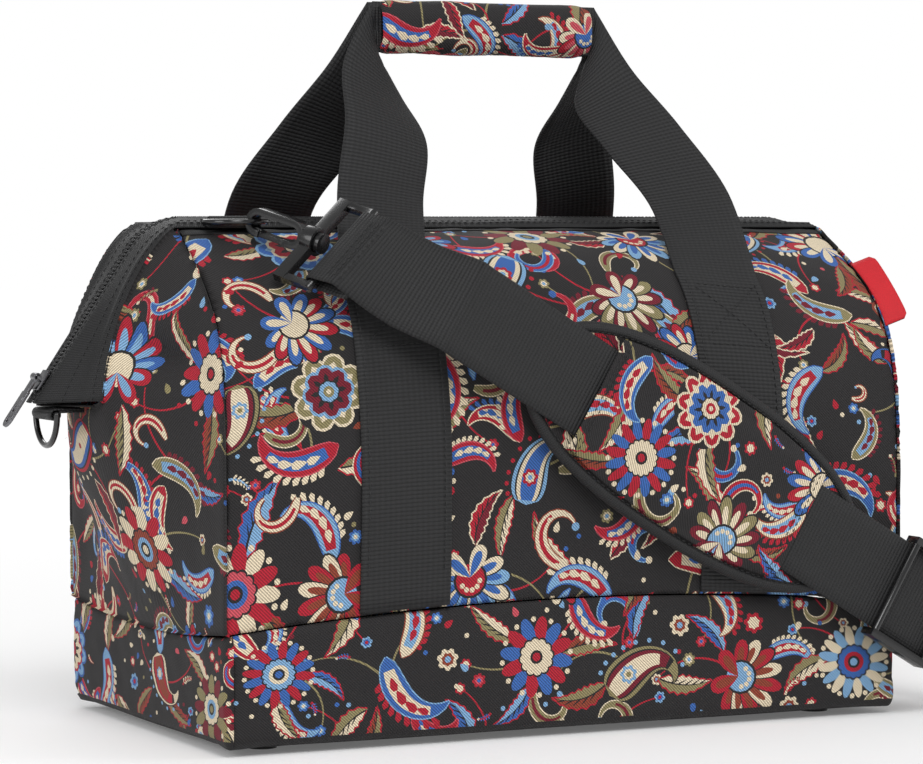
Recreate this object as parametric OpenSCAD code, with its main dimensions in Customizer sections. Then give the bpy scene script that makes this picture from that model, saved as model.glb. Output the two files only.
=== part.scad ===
// Carpet bag with a zipped top, webbing handles and a hooked-on shoulder strap.
// Millimetres. X runs along the bag, Y from front to back, Z up from the floor.

/* [Bag body] */
// Length of the base along the front
bag_length = 400; // [340:1:460]
// Depth of the base from front to back
bag_depth = 228; // [190:1:260]
// Height of the zip above the floor
ridge_height = 273; // [250:1:300]
// Height of the base band at the middle of the front and back
band_front_height = 73; // [60:1:85]
// Height of the base band at the middle of the ends
band_end_height = 57; // [45:1:62]
// Drop from the zip to the shoulder where the front wall turns in
shoulder_drop = 61; // [50:1:75]
// Thickness of the body cloth with its lining
cloth_thickness = 2; // [1:0.1:3]
// Corner radius of the base
base_corner = 5; // [3:0.5:12]
// Radius where the band turns under the base
base_turn = 8; // [5:0.5:10]
// Gap left at each sewn seam between two pieces
seam_gap = 0.4; // [0.2:0.05:0.6]

/* [Base] */
// Height of the studs under the base
foot_height = 4; // [3:0.5:8]
// Diameter of the studs
foot_diameter = 16; // [10:1:24]
// Thickness of the stiffening board
board_thickness = 3; // [2:0.5:5]

/* [Zip] */
// Half width of the zip with its tapes at the ridge
tape_half_width = 34; // [28:1:40]
// Thickness of the zip tapes
tape_thickness = 1; // [0.6:0.1:1.4]
// Distance by which the closed ends stand out past the end walls
beak_reach = 62; // [45:1:75]
// Height of the closed ends above the floor
beak_height = 176.5; // [165:0.5:185]
// Width of each coil row
coil_width = 2.6; // [2:0.1:3]
// Height of the coil rows
coil_height = 2.4; // [1.8:0.1:2.6]
// Gap between the two coil rows
coil_gap = 1.1; // [0.9:0.1:1.5]
// Length of the slider
slider_length = 12; // [9:0.5:14]
// Length of the pull
pull_length = 31; // [22:1:36]
// Diameter of the wires that hold the mouth in shape
frame_wire = 4; // [3:0.5:6]

/* [Webbing] */
// Width of the handle and shoulder webbing
webbing_width = 50; // [38:1:50]
// Thickness of the webbing
webbing_thickness = 1.8; // [1.2:0.1:2.2]
// Distance of the handle straps from the ends of the base
handle_inset = 100; // [85:1:115]
// Height of the middle of the grip
grip_height = 377; // [360:1:400]
// Length of the grip wrap
grip_length = 128; // [100:1:150]
// Height of the grip wrap's section
grip_tall = 30; // [26:1:34]
// Thickness of the grip wrap's section
grip_thick = 22; // [18:1:28]

/* [Rings and hooks] */
// Inside width of the D rings
ring_inner = 30; // [26:1:34]
// Wire diameter of the D rings
ring_wire = 3.2; // [2.5:0.1:3.4]
// Length of the eye of the hooks
hook_eye_length = 23; // [20:1:26]
// Inside height of the eye of the hooks
hook_eye_height = 8; // [7.5:0.1:9]
// Thickness of the wall round the eye
hook_wall = 3.5; // [3:0.1:4.5]
// Thickness of the hooks across the eye
hook_thick = 8; // [6:0.5:9]

/* [Shoulder pad] */
// Length of the pad
pad_length = 225; // [190:1:230]
// Width of the pad
pad_width = 94; // [84:1:100]
// Thickness of the padding
pad_thickness = 6.5; // [4:0.5:7]
// Distance between the two slits of the sleeve
sleeve_length = 144; // [110:1:150]
// Width of the edge binding
binding_width = 7; // [5:0.5:9]

/* [Hidden] */

// Colours
cloth_colour = "#2a2728";
black = "#1b1b1c";
webbing_colour = "#222223";
metal_colour = "#4a4b4e";
red = "#c8202c";

// Body outline
half_length = bag_length / 2;
half_depth = bag_depth / 2;
hem_half_length = half_length - 5;
hem_height = ridge_height - 5;
shoulder_height = ridge_height - shoulder_drop;
bottom_z = foot_height;
band_corner_height = (band_front_height + band_end_height) / 2 - 3;
beak_tip = half_length + beak_reach;
leg_foot = [half_length + 33, 30, beak_height + 1.5];
leg_share = 0.3;

// Steps of the soft surfaces
panel_steps = 16;
rise_steps = 18;
leg_steps = 10;

// Front wall, from the band to the hem, as (y, z) control points at the middle and at a corner
middle_profile = [
    [-half_depth, band_front_height],
    [-half_depth - 10, shoulder_height - 2],
    [-half_depth + 4, hem_height - 13],
    [-tape_half_width, hem_height]
];
corner_profile = [
    [-half_depth, band_corner_height],
    [-half_depth - 2, shoulder_height],
    [-half_depth - 6, shoulder_height + 10],
    [-tape_half_width, hem_height]
];

// End wall control points at its middle, as (x outwards, z)
end_profile = [
    [half_length, band_end_height],
    [half_length + 12, band_end_height + 43],
    [half_length + 38, band_end_height + 83],
    [half_length + 36, beak_height - 2.2]
];

// Hem of the zip tape down one end, as (x outwards, y outwards, z)
leg_hem = [
    [hem_half_length, tape_half_width, hem_height],
    [half_length + 13, tape_half_width - 1, hem_height - 13],
    [half_length + 31, leg_foot[1], beak_height + 38],
    leg_foot
];

// Chain of the zip down one end, as (x outwards, z)
leg_direction = unit([beak_tip - hem_half_length - 1.9, beak_height - ridge_height]);
leg_top = [beak_tip, beak_height] - leg_direction * 98;
leg_corner = [beak_tip, beak_height] - leg_direction * 113;
ridge_end = [leg_corner[0] - 18, ridge_height];
bend_share = 0.35;
flat_strip = 8;

function unit(v) = v / norm(v);
function mix(a, b, t) = a + (b - a) * t;
function bezier(p, t) =
    p[0] * pow(1 - t, 3) + p[1] * 3 * t * pow(1 - t, 2)
    + p[2] * 3 * t * t * (1 - t) + p[3] * pow(t, 3);
function arch(p, t) = p[0] * pow(1 - t, 2) + p[1] * 2 * t * (1 - t) + p[2] * t * t;
function spline(p, s) =
    let (
        last = len(p) - 1,
        k = min(floor(s), last - 1),
        f = s - k,
        a = p[max(0, k - 1)],
        b = p[k],
        c = p[k + 1],
        d = p[min(last, k + 2)]
    )
    0.5 * (2 * b + (c - a) * f + (2 * a - 5 * b + 4 * c - d) * f * f
        + (3 * b - a - 3 * c + d) * f * f * f);

// Point of the front wall: v from -1 to 1 along it, t from 0 at the band to 1 at the hem
function front_point(v, t) =
    let (
        w = v * v,
        profile = [for (k = [0:3]) mix(middle_profile[k], corner_profile[k], w)],
        p = bezier(profile, t)
    )
    [v * mix(half_length, hem_half_length, t * t * t), p[0], p[1]];

// Point of the left end wall: u from -1 at the back corner to 1 at the front corner
function end_point(u, t) =
    let (
        a = abs(u),
        w = a * a,
        top = a > leg_share
            ? bezier(leg_hem, (1 - a) / (1 - leg_share))
            : let (b = a / leg_share)
              [
                mix(end_profile[3][0], leg_foot[0], b * b),
                leg_foot[1] * b,
                mix(end_profile[3][1], leg_foot[2], b * b)
              ],
        base_z = mix(end_profile[0][1], corner_profile[0][1], w),
        low = [
            mix(end_profile[1][0], half_length, w),
            -corner_profile[1][0] * a,
            mix(end_profile[1][1], corner_profile[1][1], w)
        ],
        high = [
            mix(end_profile[2][0], half_length, w),
            -corner_profile[2][0] * a,
            mix(end_profile[2][1], corner_profile[2][1], w)
        ],
        p = bezier([[half_length, half_depth * a, base_z], low, high, top], t)
    )
    [-p[0], -sign(u) * p[1], p[2]];

// Chain and hem of one zip leg: w from 0 at the ridge to 1 at the tip
function chain_leg(w) =
    w < bend_share
        ? arch([ridge_end, leg_corner, leg_top], w / bend_share)
        : mix(leg_top, [beak_tip, beak_height], (w - bend_share) / (1 - bend_share));

// Places along the zip, from the left tip over the ridge to the right tip, each with its hem and chain
leg_places = [for (i = [0:leg_steps]) i / leg_steps];
function leg_pair(side, w) =
    let (h = bezier(leg_hem, w), c = chain_leg(w))
    [[side * h[0], -h[1], h[2]], [side * c[0], 0, c[1]]];
function ridge_pair(v) = [
    [v * hem_half_length, -tape_half_width, hem_height],
    [v * ridge_end[0], 0, ridge_height]
];
zip_places = concat(
    [for (i = [leg_steps:-1:1]) leg_pair(-1, leg_places[i])],
    [for (i = [0:panel_steps]) ridge_pair(2 * i / panel_steps - 1)],
    [for (i = [1:leg_steps]) leg_pair(1, leg_places[i])]
);

// Rows of points across the front zip tape, from the coil to the hem
tape_inner = coil_gap / 2 + coil_width + 0.3;
hem_trim = 0.02;
panel_trim = 0.003;
function tape_row(pair) =
    let (
        hem = pair[0],
        chain = pair[1],
        flat = chain - [0, flat_strip, 0]
    )
    [
        chain - [0, tape_inner, 0],
        flat,
        mix(flat, hem, 0.35),
        mix(flat, hem, 0.7),
        mix(flat, hem, 1 - hem_trim)
    ];
tape_grid = [for (pair = zip_places) tape_row(pair)];
coil_grid = [
    for (pair = zip_places)
        [pair[1] - [0, coil_gap / 2, 0], pair[1] - [0, coil_gap / 2 + coil_width, 0]]
];

// Outward normal of a grid of points at row i and column j
function wrap(k, n, closed) = closed ? (k + n) % n : max(0, min(n - 1, k));
function grid_normal(g, i, j, closed) =
    let (
        cols = len(g[0]),
        across = g[i][wrap(j + 1, cols, closed)] - g[i][wrap(j - 1, cols, closed)],
        along = g[min(len(g) - 1, i + 1)][j] - g[max(0, i - 1)][j]
    )
    unit(cross(across, along));
function raised(g, i, j, height, closed = false) = g[i][j] + grid_normal(g, i, j, closed) * height;

// Sheet of cloth between two heights over a grid of points
module sheet(grid, low, high, closed = false) {
    rows = len(grid);
    cols = len(grid[0]);
    count = rows * cols;
    spans = closed ? cols : cols - 1;
    outer = [for (i = [0:rows - 1], j = [0:cols - 1]) raised(grid, i, j, high, closed)];
    inner = [for (i = [0:rows - 1], j = [0:cols - 1]) raised(grid, i, j, low, closed)];
    function id(i, j) = i * cols + j % cols;
    quads = concat(
        [
            for (i = [0:rows - 2], j = [0:spans - 1])
                [id(i, j), id(i + 1, j), id(i + 1, j + 1), id(i, j + 1)]
        ],
        [
            for (i = [0:rows - 2], j = [0:spans - 1])
                [id(i, j), id(i, j + 1), id(i + 1, j + 1), id(i + 1, j)] + count * [1, 1, 1, 1]
        ],
        [
            for (j = [0:spans - 1])
                [id(0, j), id(0, j + 1), id(0, j + 1) + count, id(0, j) + count]
        ],
        [
            for (j = [0:spans - 1])
                [id(rows - 1, j + 1), id(rows - 1, j), id(rows - 1, j) + count, id(rows - 1, j + 1) + count]
        ],
        closed ? [] : [
            for (i = [0:rows - 2])
                [id(i + 1, 0), id(i, 0), id(i, 0) + count, id(i + 1, 0) + count]
        ],
        closed ? [] : [
            for (i = [0:rows - 2])
                [id(i, cols - 1), id(i + 1, cols - 1), id(i + 1, cols - 1) + count, id(i, cols - 1) + count]
        ]
    );
    faces = [
        for (q = quads, half = [0, 1])
            half == 0 ? [q[0], q[1], q[2]] : [q[0], q[2], q[3]]
    ];
    polyhedron(concat(outer, inner), faces, convexity = 10);
}

// Round bar along a list of points that stay near one plane of constant y
module bent_wire(path, radius, sides = 8) {
    rows = len(path);
    rings = [
        for (i = [0:rows - 1])
            let (
                along = unit(path[min(rows - 1, i + 1)] - path[max(0, i - 1)]),
                out = unit(cross(along, [0, 1, 0])),
                aside = cross(out, along)
            )
            for (k = [0:sides - 1])
                path[i] + radius * (cos(360 * k / sides) * out + sin(360 * k / sides) * aside)
    ];
    walls = [
        for (i = [0:rows - 2], k = [0:sides - 1], half = [0, 1])
            let (
                a = i * sides + k,
                b = i * sides + (k + 1) % sides
            )
            half == 0 ? [a, b, b + sides] : [a, b + sides, a + sides]
    ];
    first = [for (k = [sides - 1:-1:0]) k];
    last = [for (k = [0:sides - 1]) (rows - 1) * sides + k];
    polyhedron(rings, concat(walls, [first, last]), convexity = 10);
}

// Children placed at a point, with their X along one direction and their Z near another
module set_at(point, x_axis, z_near) {
    ex = unit(x_axis);
    ey = unit(cross(z_near, ex));
    ez = cross(ex, ey);
    multmatrix([
        [ex[0], ey[0], ez[0], point[0]],
        [ex[1], ey[1], ez[1], point[1]],
        [ex[2], ey[2], ez[2], point[2]],
        [0, 0, 0, 1]
    ])
        children();
}

module half_turn() {
    rotate([0, 0, 180])
        children();
}

// Base
function base_outline(inset) =
    let (
        r = max(1, base_corner - inset),
        x = half_length - inset - r,
        y = half_depth - inset - r,
        turns = [[1, -1, -90], [1, 1, 0], [-1, 1, 90], [-1, -1, 180]],
        side_steps = 8
    )
    [
        for (n = [0:3])
            let (
                c = turns[n],
                d = turns[(n + 1) % 4],
                from = [c[0] * x, c[1] * y] + r * [cos(c[2] + 90), sin(c[2] + 90)],
                to = [d[0] * x, d[1] * y] + r * [cos(d[2]), sin(d[2])]
            )
            each concat(
                [
                    for (k = [0:2])
                        [c[0] * x, c[1] * y]
                        + r * [cos(c[2] + 45 * k), sin(c[2] + 45 * k)]
                ],
                [for (k = [1:side_steps - 1]) mix(from, to, k / side_steps)]
            )
    ];

// Top edge of the base band, which follows the lower edge of the walls
function band_top(p) =
    let (
        on_front = abs(p[1]) > half_depth - base_corner,
        v = min(1, abs(p[0]) / half_length),
        u = min(1, abs(p[1]) / half_depth)
    )
    on_front
        ? mix(band_front_height, band_corner_height, v * v)
        : mix(band_end_height, band_corner_height, u * u);
outer_outline = base_outline(0);
turn_steps = 4;
band_grid = concat(
    [
        for (k = [0:turn_steps])
            let (
                angle = 90 * k / turn_steps,
                inset = base_turn * (1 - sin(angle)),
                z = bottom_z + base_turn * (1 - cos(angle)),
                ring = base_outline(inset)
            )
            [for (p = ring) [p[0], p[1], z]]
    ],
    [
        for (share = [0.3, 0.65, 1])
            [
                for (p = outer_outline)
                    [p[0], p[1], mix(bottom_z + base_turn, band_top(p) - seam_gap, share)]
            ]
    ]
);

module base_plate(inset, thickness) {
    linear_extrude(thickness)
        polygon(base_outline(inset));
}

module bottom_panel() {
    color(black)
        translate([0, 0, bottom_z])
            base_plate(base_turn + seam_gap, cloth_thickness);
}

module base_board() {
    color("#8a7a66")
        translate([0, 0, bottom_z + cloth_thickness + seam_gap])
            base_plate(base_turn + 2 * cloth_thickness, board_thickness);
}

foot_inset = 34;
module feet() {
    places = concat(
        [[0, 0]],
        [for (sx = [-1, 1], sy = [-1, 1]) [sx * (half_length - foot_inset), sy * (half_depth - foot_inset)]]
    );
    color(black)
        for (p = places)
            translate([p[0], p[1], 0])
                cylinder(d = foot_diameter, h = foot_height, $fn = 48);
}

module base_band() {
    color(cloth_colour)
        sheet(band_grid, -cloth_thickness, 0, closed = true);
}

// Walls
front_reach = 1 - (cloth_thickness + 2 * seam_gap) / half_length;
front_grid = [
    for (i = [0:rise_steps])
        [
            for (j = [0:panel_steps])
                front_point((2 * j / panel_steps - 1) * front_reach, i / rise_steps * (1 - panel_trim))
        ]
];
end_grid = [
    for (i = [0:rise_steps])
        [for (j = [-panel_steps / 2:panel_steps / 2]) end_point(2 * j / panel_steps, i / rise_steps * (1 - panel_trim))]
];

module front_panel() {
    color(cloth_colour)
        sheet(front_grid, -cloth_thickness, 0);
}

module back_panel() {
    color(cloth_colour)
        half_turn()
            sheet(front_grid, -cloth_thickness, 0);
}

// The end wall, and the small floor that closes the tip of the zip from below
floor_thickness = 1.2;
floor_back = end_profile[3][0] + 0.3;
floor_top = beak_height - 1;
module end_wall() {
    sheet(end_grid, -cloth_thickness, 0);
    translate([0, 0, floor_top - floor_thickness])
        linear_extrude(floor_thickness)
            polygon([
                [-floor_back, -leg_foot[1] + 5],
                [-floor_back, leg_foot[1] - 5],
                [-beak_tip + 3.5, 3],
                [-beak_tip + 3.5, -3]
            ]);
}

module left_end_panel() {
    color(cloth_colour)
        end_wall();
}

module right_end_panel() {
    color(cloth_colour)
        half_turn()
            end_wall();
}

// Zip
module zip_tape_front() {
    color(black)
        sheet(tape_grid, -tape_thickness / 2, tape_thickness / 2);
}

module zip_tape_back() {
    color(black)
        half_turn()
            sheet(tape_grid, -tape_thickness / 2, tape_thickness / 2);
}

module zip_coil_front() {
    color(black)
        sheet(coil_grid, -coil_height / 2, coil_height / 2);
}

module zip_coil_back() {
    color(black)
        half_turn()
            sheet(coil_grid, -coil_height / 2, coil_height / 2);
}

frame_wire_path = [
    for (i = [1:len(tape_grid) - 2])
        mix(raised(tape_grid, i, 3, 0), raised(tape_grid, i, 2, 0), 0.2)
        - grid_normal(tape_grid, i, 3, false) * (tape_thickness / 2 + frame_wire / 2 + seam_gap)
];

module frame_wire_front() {
    color(metal_colour)
        bent_wire(frame_wire_path, frame_wire / 2);
}

module frame_wire_back() {
    color(metal_colour)
        half_turn()
            bent_wire(frame_wire_path, frame_wire / 2);
}

// Slider, seen with X up the zip leg and Z out of the bag
slider_rest = 12.6;
slider_out = [leg_direction[1], 0, leg_direction[0]];
slider_up = [leg_direction[0], 0, -leg_direction[1]];
slider_place = [-beak_tip, 0, beak_height] + slider_up * slider_rest;
plate_width = 9;
plate_thickness = 1.5;
plate_low = coil_height / 2 + 0.4;
web_thickness = coil_gap - 0.6;
crown_height = plate_low + plate_thickness + 2.6;
crown_bar = 1.4;
pull_width = 9;
pull_thickness = 1.6;
pull_eye = 2 * crown_bar;

module slider_frame() {
    set_at(slider_place, slider_up, slider_out)
        children();
}

module zip_slider() {
    color(metal_colour)
        slider_frame() {
            for (z = [plate_low, -plate_low - plate_thickness])
                translate([-slider_length / 2, -plate_width / 2, z])
                    cube([slider_length, plate_width, plate_thickness]);
            translate([slider_length / 2 - 3, -web_thickness / 2, -plate_low - 0.2])
                cube([3, web_thickness, 2 * plate_low + 0.4]);
            translate([0, 0, crown_height])
                rotate([90, 0, 0])
                    cylinder(d = crown_bar, h = plate_width, center = true, $fn = 24);
            for (y = [-1, 1])
                translate([-crown_bar / 2, y * (plate_width - 1) / 2 - 0.5, plate_low + 0.1])
                    cube([crown_bar, 1, crown_height - plate_low]);
        }
}

pull_inner = plate_width - 2 - 2 * 0.4;
module zip_pull() {
    color(metal_colour)
        slider_frame()
            translate([0, 0, crown_height])
                difference() {
                    union() {
                        rotate([90, 0, 0])
                            cylinder(d = pull_eye + 1.6, h = pull_inner, center = true, $fn = 32);
                        translate([-pull_length / 3, -pull_inner / 2, -pull_thickness / 2])
                            cube([pull_length / 3, pull_inner, pull_thickness]);
                        translate([-pull_length + pull_width / 2, -pull_width / 2, -pull_thickness / 2])
                            cube([pull_length * 2 / 3 - pull_width / 2 + 1, pull_width, pull_thickness]);
                        translate([-pull_length + pull_width / 2, 0, -pull_thickness / 2])
                            cylinder(d = pull_width, h = pull_thickness, $fn = 48);
                    }
                    rotate([90, 0, 0])
                        cylinder(d = pull_eye, h = plate_width, center = true, $fn = 32);
                    for (x = [pull_length - pull_width / 2, pull_length - pull_width * 1.2])
                        translate([-x, 0, -pull_thickness])
                            cylinder(d = pull_width * 0.45, h = 2 * pull_thickness, $fn = 32);
                }
}

// D rings, with the straight bar along X and the bow towards -Y
ring_radius = (ring_inner + ring_wire) / 2;
module d_ring() {
    rotate([0, 0, 180])
        rotate_extrude(angle = 180, $fn = 64)
            translate([ring_radius, 0])
                circle(d = ring_wire, $fn = 32);
    rotate([0, 90, 0])
        cylinder(d = ring_wire, h = 2 * ring_radius, center = true, $fn = 32);
    for (x = [-1, 1])
        translate([x * ring_radius, 0, 0])
            sphere(d = ring_wire, $fn = 32);
}

// Webbing tab folded round the bar of a ring, with a tongue along -X of its own frame
tab_width = ring_inner - 2;
tab_thickness = 1.2;
tab_hole = ring_wire / 2 + 0.4;
module ring_tab(tongue) {
    rotate([90, 0, 0])
        linear_extrude(tab_width, center = true)
            difference() {
                union() {
                    circle(r = tab_hole + tab_thickness, $fn = 48);
                    translate([-tongue, -tab_hole - tab_thickness])
                        square([tongue, 2 * tab_thickness]);
                }
                circle(r = tab_hole, $fn = 48);
            }
}

// End rings hang under the closed ends of the zip
end_bar = [-beak_tip + 8, 0, floor_top - floor_thickness - seam_gap - tab_hole - tab_thickness];
end_tongue = 16;

module end_tab() {
    set_at(end_bar, [-1, 0, 0], [0, 0, -1])
        ring_tab(end_tongue);
}

module end_ring() {
    set_at(end_bar, [0, 1, 0], [1, 0, 0])
        d_ring();
}

module left_end_tab() {
    color(webbing_colour)
        end_tab();
}

module right_end_tab() {
    color(webbing_colour)
        half_turn()
            end_tab();
}

module left_end_ring() {
    color(black)
        end_ring();
}

module right_end_ring() {
    color(black)
        half_turn()
            end_ring();
}

// Handles: a strap sewn up the wall, free above it, and folded into the grip
handle_sewn = 0.7;
handle_spacing = half_length - handle_inset;
handle_lean = 11;
handle_band = grip_tall - 4;
handle_raise = 0.8;
handle_steps = 12;
band_offset = 2.6;
function handle_sewn_row(side, t) =
    [
        for (k = [-1:0.5:1])
            let (
                v = (side * handle_spacing - side * k * webbing_width / 2) / half_length,
                p = front_point(v, t),
                q = front_point(v, t + 0.01),
                r = front_point(v + 0.01, t)
            )
            p + unit(cross(r - p, q - p)) * handle_raise
    ];
function handle_leg(side) =
    let (
        shift = handle_lean,
        start = handle_sewn_row(side, handle_sewn)[2]
    )
    [
        [start, [-side * webbing_width / 2, 0, 0]],
        [[side * (handle_spacing - 6) + shift, -46, hem_height + 15], [-side * 24.5, 0, -3]],
        [[side * (handle_spacing - 22) + shift * 0.6, -28, hem_height + 50], [-side * 23.5, 0, -6]],
        [[side * (grip_length / 2 + 6.5), -9, grip_height - 30.5], [-side * 17, 0, -10]],
        [[side * (grip_length / 2 + 4), -band_offset, grip_height], [0, 0, -handle_band / 2]]
    ];
function handle_free_row(side, s) =
    let (
        leg = handle_leg(side),
        centre = spline([for (row = leg) row[0]], s),
        aside = spline([for (row = leg) row[1]], s)
    )
    [for (k = [-1:0.5:1]) centre + aside * k];
function handle_half(side) = concat(
    [for (i = [0:handle_steps]) handle_sewn_row(side, 0.015 + (handle_sewn - 0.015) * i / handle_steps)],
    [for (i = [1:handle_steps]) handle_free_row(side, 4 * i / handle_steps)]
);
left_half = handle_half(-1);
right_half = handle_half(1);
handle_grid = concat(
    left_half,
    [[for (k = [-1:0.5:1]) [0, -band_offset, grip_height - k * handle_band / 2]]],
    [for (i = [len(right_half) - 1:-1:0]) right_half[i]]
);

module handle_front() {
    color(webbing_colour)
        sheet(handle_grid, 0, webbing_thickness);
}

module handle_back() {
    color(webbing_colour)
        half_turn()
            sheet(handle_grid, 0, webbing_thickness);
}

grip_slot = 2 * (band_offset + webbing_thickness + 0.6);
module handle_grip() {
    color(cloth_colour)
        translate([0, 0, grip_height])
            rotate([90, 0, 90])
                linear_extrude(grip_length, center = true)
                    difference() {
                        hull()
                            for (y = [-1, 1])
                                translate([0, y * (grip_tall - grip_thick) / 2])
                                    circle(d = grip_thick, $fn = 48);
                        square([grip_slot, handle_band + 1.2], center = true);
                    }
}

// Hem rings for the shoulder strap, lying flat behind the hooks
ring_height = hem_height + 3;
ring_inset = 36;
ring_drop = 6;
front_ring_place = [-half_length + ring_inset, -tape_half_width - ring_drop, ring_height];
back_ring_place = [half_length - ring_inset, tape_half_width + ring_drop, ring_height];
hem_tongue = 12;
hem_slope = 14;

module hem_tab(place, turn) {
    translate(place)
        rotate([0, 0, turn])
            set_at([0, 0, 0], [0, -cos(hem_slope), -sin(hem_slope)], [0, 0, 1])
                ring_tab(hem_tongue);
}

module front_ring_tab() {
    color(webbing_colour)
        hem_tab(front_ring_place, 0);
}

module back_ring_tab() {
    color(webbing_colour)
        hem_tab(back_ring_place, 180);
}

module front_ring() {
    color(black)
        translate(front_ring_place)
            d_ring();
}

module back_ring() {
    color(black)
        translate(back_ring_place)
            rotate([0, 0, 180])
                d_ring();
}

// Hooks. In a hook's own frame its eye runs from the origin along X towards the webbing,
// the ring's wire passes through the eye along Y, and Z points away from the bag.
front_grip_angle = 31;
back_grip_angle = 15;
front_grip = front_ring_place + ring_radius * [sin(front_grip_angle), -cos(front_grip_angle), 0];
back_grip = back_ring_place + ring_radius * [sin(back_grip_angle), cos(back_grip_angle), 0];
eye_radius = hook_eye_height / 2;
hook_radius = eye_radius + hook_wall;
wire_play = 1.3;
hook_seat = eye_radius - ring_wire / 2 - wire_play;
front_hook_axis = unit([0.49, -0.83, -0.27]);
back_hook_axis = unit([0.28, 0.88, -0.36]);
front_eye = front_grip + front_hook_axis * hook_seat;
back_eye = back_grip + back_hook_axis * hook_seat;
front_hook_up = [0.139, -0.231, 0.963];
back_hook_up = [0.094, 0.351, 0.931];
front_frame_up = [-0.5, -0.47, 0.73];
back_frame_up = [-0.2, 0.42, 0.88];

hook_play = 0.4;
gate_thickness = hook_wall - 0.9;
gate_pin = 1.7;
gate_x = hook_eye_length - 6.5;
gate_z = -eye_radius - hook_wall / 2;
gate_tip = 2.4;
shank_start = hook_eye_length + hook_radius;
shank_radius = 4;
collar_length = 7;
head_length = 3;
head_radius = 5.5;
frame_start = shank_start + hook_play;
frame_window = frame_start + collar_length;
frame_depth = 12.5;
bar_radius = 2.5;
bar_x = frame_window + frame_depth + bar_radius;
frame_half = webbing_width / 2 + 1.2;
rail = 4;

module stadium(radius) {
    circle(r = radius, $fn = 64);
    translate([hook_eye_length, 0])
        circle(r = radius, $fn = 64);
    translate([0, -radius])
        square([hook_eye_length, 2 * radius]);
}

module hook_body() {
    rotate([90, 0, 0])
        linear_extrude(hook_thick, center = true)
            difference() {
                stadium(hook_radius);
                stadium(eye_radius);
                translate([gate_x, gate_z])
                    circle(r = gate_pin + hook_play, $fn = 48);
                translate([gate_tip - hook_play, -hook_radius - 1])
                    square([gate_x - gate_tip + hook_play, hook_wall + 2]);
            }
    translate([shank_start - 2, 0, 0])
        rotate([0, 90, 0])
            cylinder(r = shank_radius, h = 2 + 2 * hook_play + collar_length + 0.5, $fn = 48);
    translate([frame_window + hook_play, 0, 0])
        rotate([0, 90, 0])
            cylinder(r = head_radius, h = head_length, $fn = 48);
}

module hook_gate() {
    rotate([90, 0, 0])
        linear_extrude(hook_thick - 1, center = true) {
            translate([gate_x, gate_z])
                circle(r = gate_pin, $fn = 48);
            translate([gate_tip, gate_z - gate_thickness / 2])
                square([gate_x - gate_tip, gate_thickness]);
        }
}

module hook_frame() {
    difference() {
        union() {
            translate([frame_start, 0, 0])
                rotate([0, 90, 0])
                    cylinder(r = shank_radius + 3.5, h = collar_length, $fn = 64);
            translate([frame_start, -frame_half - rail, -rail / 2 - 0.5])
                cube([collar_length, 2 * (frame_half + rail), rail + 1]);
        }
        translate([frame_start - 1, 0, 0])
            rotate([0, 90, 0])
                cylinder(r = shank_radius + hook_play, h = collar_length + 2, $fn = 64);
    }
    for (y = [-frame_half - rail, frame_half])
        translate([frame_window - 0.1, y, -rail / 2])
            cube([frame_depth + bar_radius + 0.1, rail, rail]);
    translate([bar_x, 0, 0])
        rotate([90, 0, 0])
            cylinder(r = bar_radius, h = 2 * (frame_half + rail), center = true, $fn = 48);
}

module front_hook() {
    color(black)
        set_at(front_eye, front_hook_axis, front_hook_up)
            hook_body();
}

module front_hook_gate() {
    color(black)
        set_at(front_eye, front_hook_axis, front_hook_up)
            hook_gate();
}

module front_hook_frame() {
    color(black)
        set_at(front_eye, front_hook_axis, front_frame_up)
            hook_frame();
}

module back_hook() {
    color(black)
        set_at(back_eye, back_hook_axis, back_hook_up)
            hook_body();
}

module back_hook_gate() {
    color(black)
        set_at(back_eye, back_hook_axis, back_hook_up)
            hook_gate();
}

module back_hook_frame() {
    color(black)
        set_at(back_eye, back_hook_axis, back_frame_up)
            hook_frame();
}

// Shoulder strap. The straight stretch lies in front of the bag and carries the pad and the adjuster.
strap_slope = -30.8;
strap_along = [cos(strap_slope), 0, sin(strap_slope)];
strap_across = [-strap_along[2], 0, strap_along[0]];
strap_clear = 0.3;
belly = 3;
pad_back = -half_depth - belly - handle_raise - webbing_thickness - 1.2;
pad_front = pad_back - pad_thickness;
strap_y = pad_front - strap_clear - webbing_thickness;
pad_place = [65, pad_back, 145];
strap_place = [pad_place[0], strap_y, pad_place[2]];
straight_start = -148;
straight_end = 181;
straight_lead = 16;
adjuster_at = 160;

function side_of(axis, up) = unit(cross(up, axis));
front_bar = front_eye + front_hook_axis * bar_x;
back_bar = back_eye + back_hook_axis * bar_x;
front_bar_side = side_of(front_hook_axis, front_frame_up);
back_bar_side = -side_of(back_hook_axis, back_frame_up);
front_bar_up = cross(front_hook_axis, front_bar_side);
back_bar_up = cross(back_bar_side, back_hook_axis);
wrap_radius = bar_radius + strap_clear + webbing_thickness;
wrap_steps = 6;
fold_back = 20;
fold_gap = webbing_thickness + strap_clear;

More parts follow.
